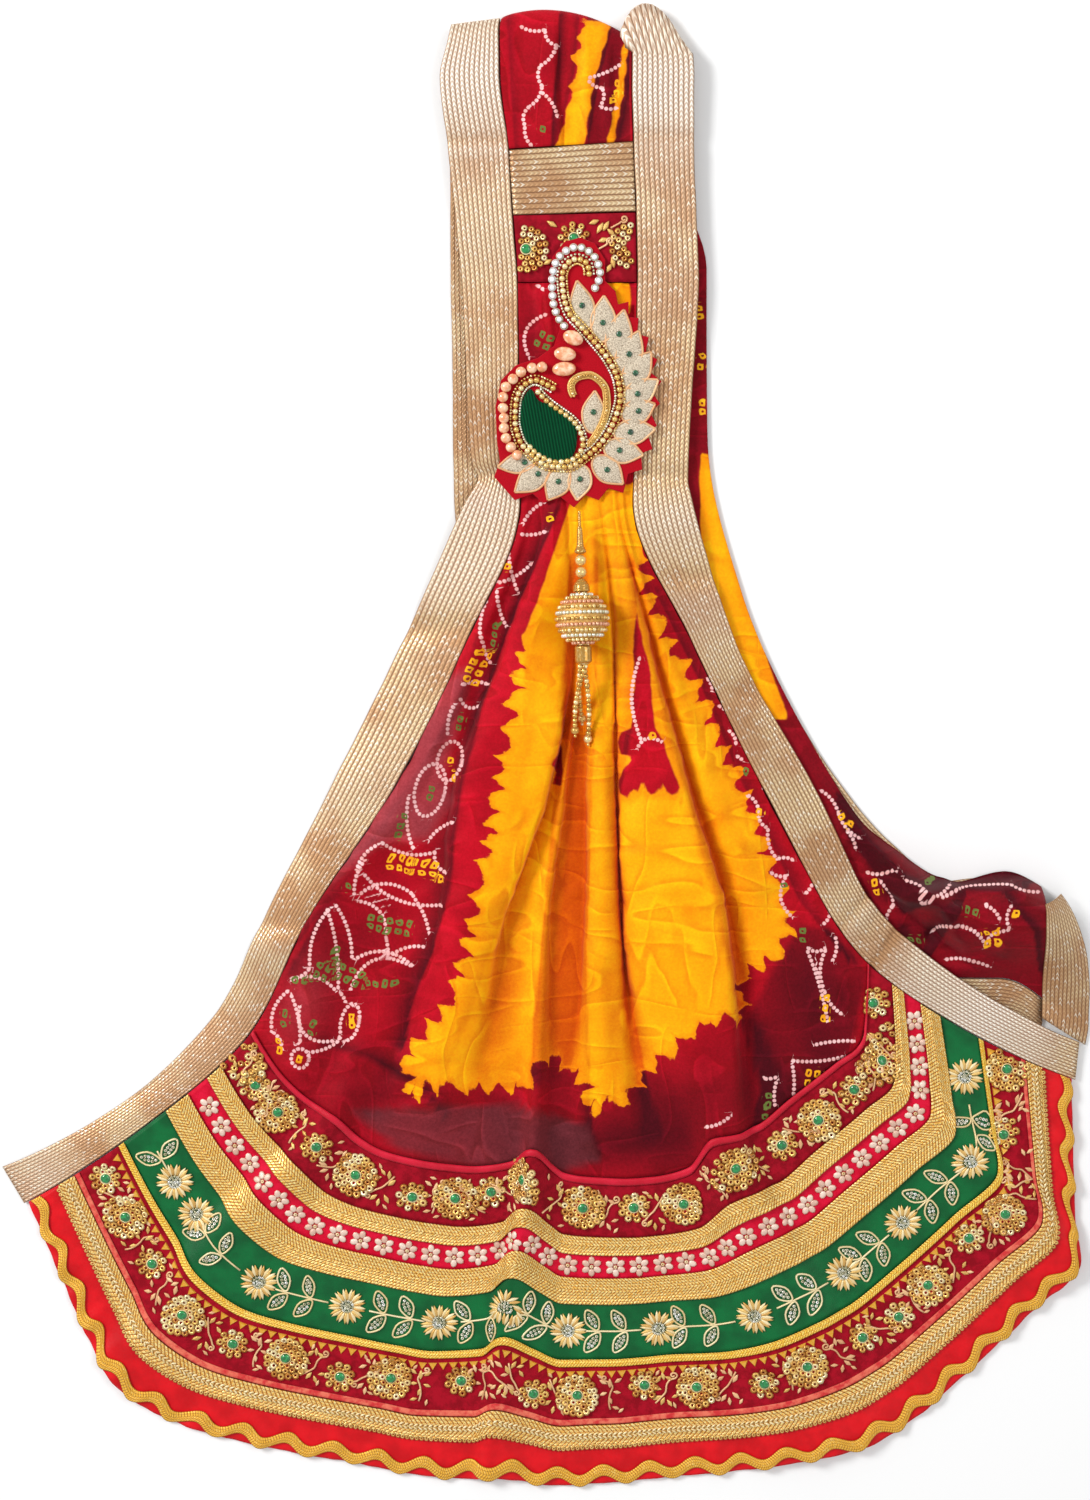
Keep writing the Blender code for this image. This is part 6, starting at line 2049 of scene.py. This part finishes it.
def makeTassel():
    top, foot = np.array(tasselLook["top"]) - middle, np.array(tasselLook["foot"]) - middle
    line = unit(foot - top)
    profile = profileOf(((0, 0.9), (10, 0.9), (12, 1.6), (24, 2.6), (28, 4.2), (29.5, 2.2)), 60)
    finishPiece(turnedPiece("tasselCap", top, line, profile, 14, 0.16, 1.6), thread["beads"],
            ("tassel_cap",))
    for which, start in (("Upper", 33.8), ("Lower", 42.0)):
        pile = Pile("ball")
        pile.add(top + line * start, np.eye(3), 4.0, 0.7)
        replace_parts(pile.make("tasselBead" + which, thread["beads"], "beads"), "tassel_bead_" + which.lower())
    profile = profileOf(((46.3, 1.6), (48, 3.4), (52, 5.6), (55.2, 5.8), (55.6, 3.0)), 24)
    finishPiece(turnedPiece("tasselBell", top, line, profile, 20, 0.14, 1.9), thread["beads"],
            ("tassel_bell",))
    radius = tasselLook["ballRadius"]
    ballCentre = top + line * (tasselLook["ballStart"] + radius)
    core = turnedPiece("tasselBall", ballCentre, line,
            [(-(radius - 1.2) * cos(t), max((radius - 1.2) * sin(t), 0.6))
                                                        for t in np.linspace(0.06, pi - 0.06, 24)], 28)
    finishPiece(core, thread["gold"], ("tassel_ball",))
    side = unit(np.cross(line, (0, 0, 1.0)))
    up = np.cross(side, line)
    piles = {"gold": Pile("bead"), "silver": Pile("bead"), "rose": Pile("bead")}
    rows = tasselLook["rows"]
    for row in range(rows):
        lean = pi * (row + 0.7) / (rows + 0.4)
        ringRadius = (radius - 0.9) * sin(lean)
        count = max(int(tau * ringRadius / 3.0), 3)
        pile = piles[("gold", "silver", "gold", "rose")[row % 4]]
        for step in range(count):
            turn = tau * (step + 0.5 * (row % 2)) / count
            outward = side * cos(turn) + up * sin(turn)
            point = ballCentre - line * (radius - 0.9) * cos(lean) + outward * ringRadius
            pile.add(point, np.eye(3), tasselLook["bead"])
    piles["gold"].make("ballGoldBeads", thread["beads"], "beads")
    piles["silver"].make("ballSilverBeads", thread["silver"], "beads")
    piles["rose"].make("ballRoseBeads", thread["roseBeads"], "beads")
    tubeTop = tasselLook["ballStart"] + radius * 2 - 0.5
    profile = profileOf(((tubeTop, 4.4), (tubeTop + 1.5, 5.8), (tubeTop + 11, 5.8), (tubeTop + 12.5, 4.3)), 26)
    finishPiece(turnedPiece("tasselTube", top, line, profile, 20, 0.1, 30), thread["beads"])
    strand, ends = Pile("bead"), Pile("ball")
    tubeFoot = top + line * (tubeTop + 11.5)
    for number, reach in enumerate(((21, 14, 20), (30, 8, 20), (26, 22, 17))):
        tip = np.array(reach, float) - middle
        root = tubeFoot + side * (number - 1) * 2.2
        sway = side * (3.0, -2.0, 1.5)[number]
        path = [root * (1 - t) + tip * t + sway * sin(pi * t) for t in np.linspace(0, 1, 17)]
        for step, point in enumerate(openCurve(path, 3.6)[:-2]):
            strand.add(point, np.eye(3), 2.0 if step % 5 else 2.3)
        ends.add(path[-1] + line * -2.5, np.eye(3), 3.1)
        strand.add(path[-1] + line * 1.4, np.eye(3), 1.2)
    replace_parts(strand.make("tasselStrings", thread["beads"], "beads"), "tassel_fringe")
    ends.make("tasselEndBeads", thread["beads"], "beads")


makeTassel()
print("tassel done")


def addStage():
    deselect()
    bpy.ops.mesh.primitive_plane_add(size=12, location=(0, 0, -0.0004))
    floor = bpy.context.object
    floor.name = "floor"
    s = Shader("pale floor", 0.9)
    s.colour((0.92, 0.92, 0.92))
    floor.data.materials.append(s.material)
    world = bpy.data.worlds.new("studio")
    bpy.context.scene.world = world
    world.use_nodes = True
    world.node_tree.nodes["Background"].inputs[0].default_value = (1, 1, 1, 1)
    world.node_tree.nodes["Background"].inputs[1].default_value = lightLook["world"]
    for name, place, size, power, aim in lightLook["lamps"]:
        light = bpy.data.lights.new(name, "AREA")
        light.size = size
        light.energy = power
        lamp = bpy.data.objects.new(name, light)
        lamp.location = place
        away = np.array(place) - aim
        lamp.rotation_euler = (atan2(hypot(away[0], away[1]), away[2]), 0, atan2(away[0], -away[1]))
        bpy.context.collection.objects.link(lamp)
    view = bpy.data.cameras.new("view")
    view.sensor_fit = "VERTICAL"
    view.sensor_width = view.sensor_height = 36
    view.lens = cameraView["lens"]
    view.clip_end = 50
    camera = bpy.data.objects.new("view", view)
    camera.location = np.array(cameraView["place"]) * mm
    camera.rotation_euler = (radians(cameraView["tilt"]), 0, 0)
    bpy.context.collection.objects.link(camera)
    bpy.context.scene.camera = camera
    bpy.context.scene.view_settings.view_transform = "Standard"


lightLook = {"world": 0.62, "lamps": (("key", (-2.1, 1.3, 1.9), 0.9, 74, (0, 0, 0)),
                                      ("fill", (1.8, 0.6, 2.2), 1.6, 17, (0, 0, 0)))}
addStage()
print("scene done")
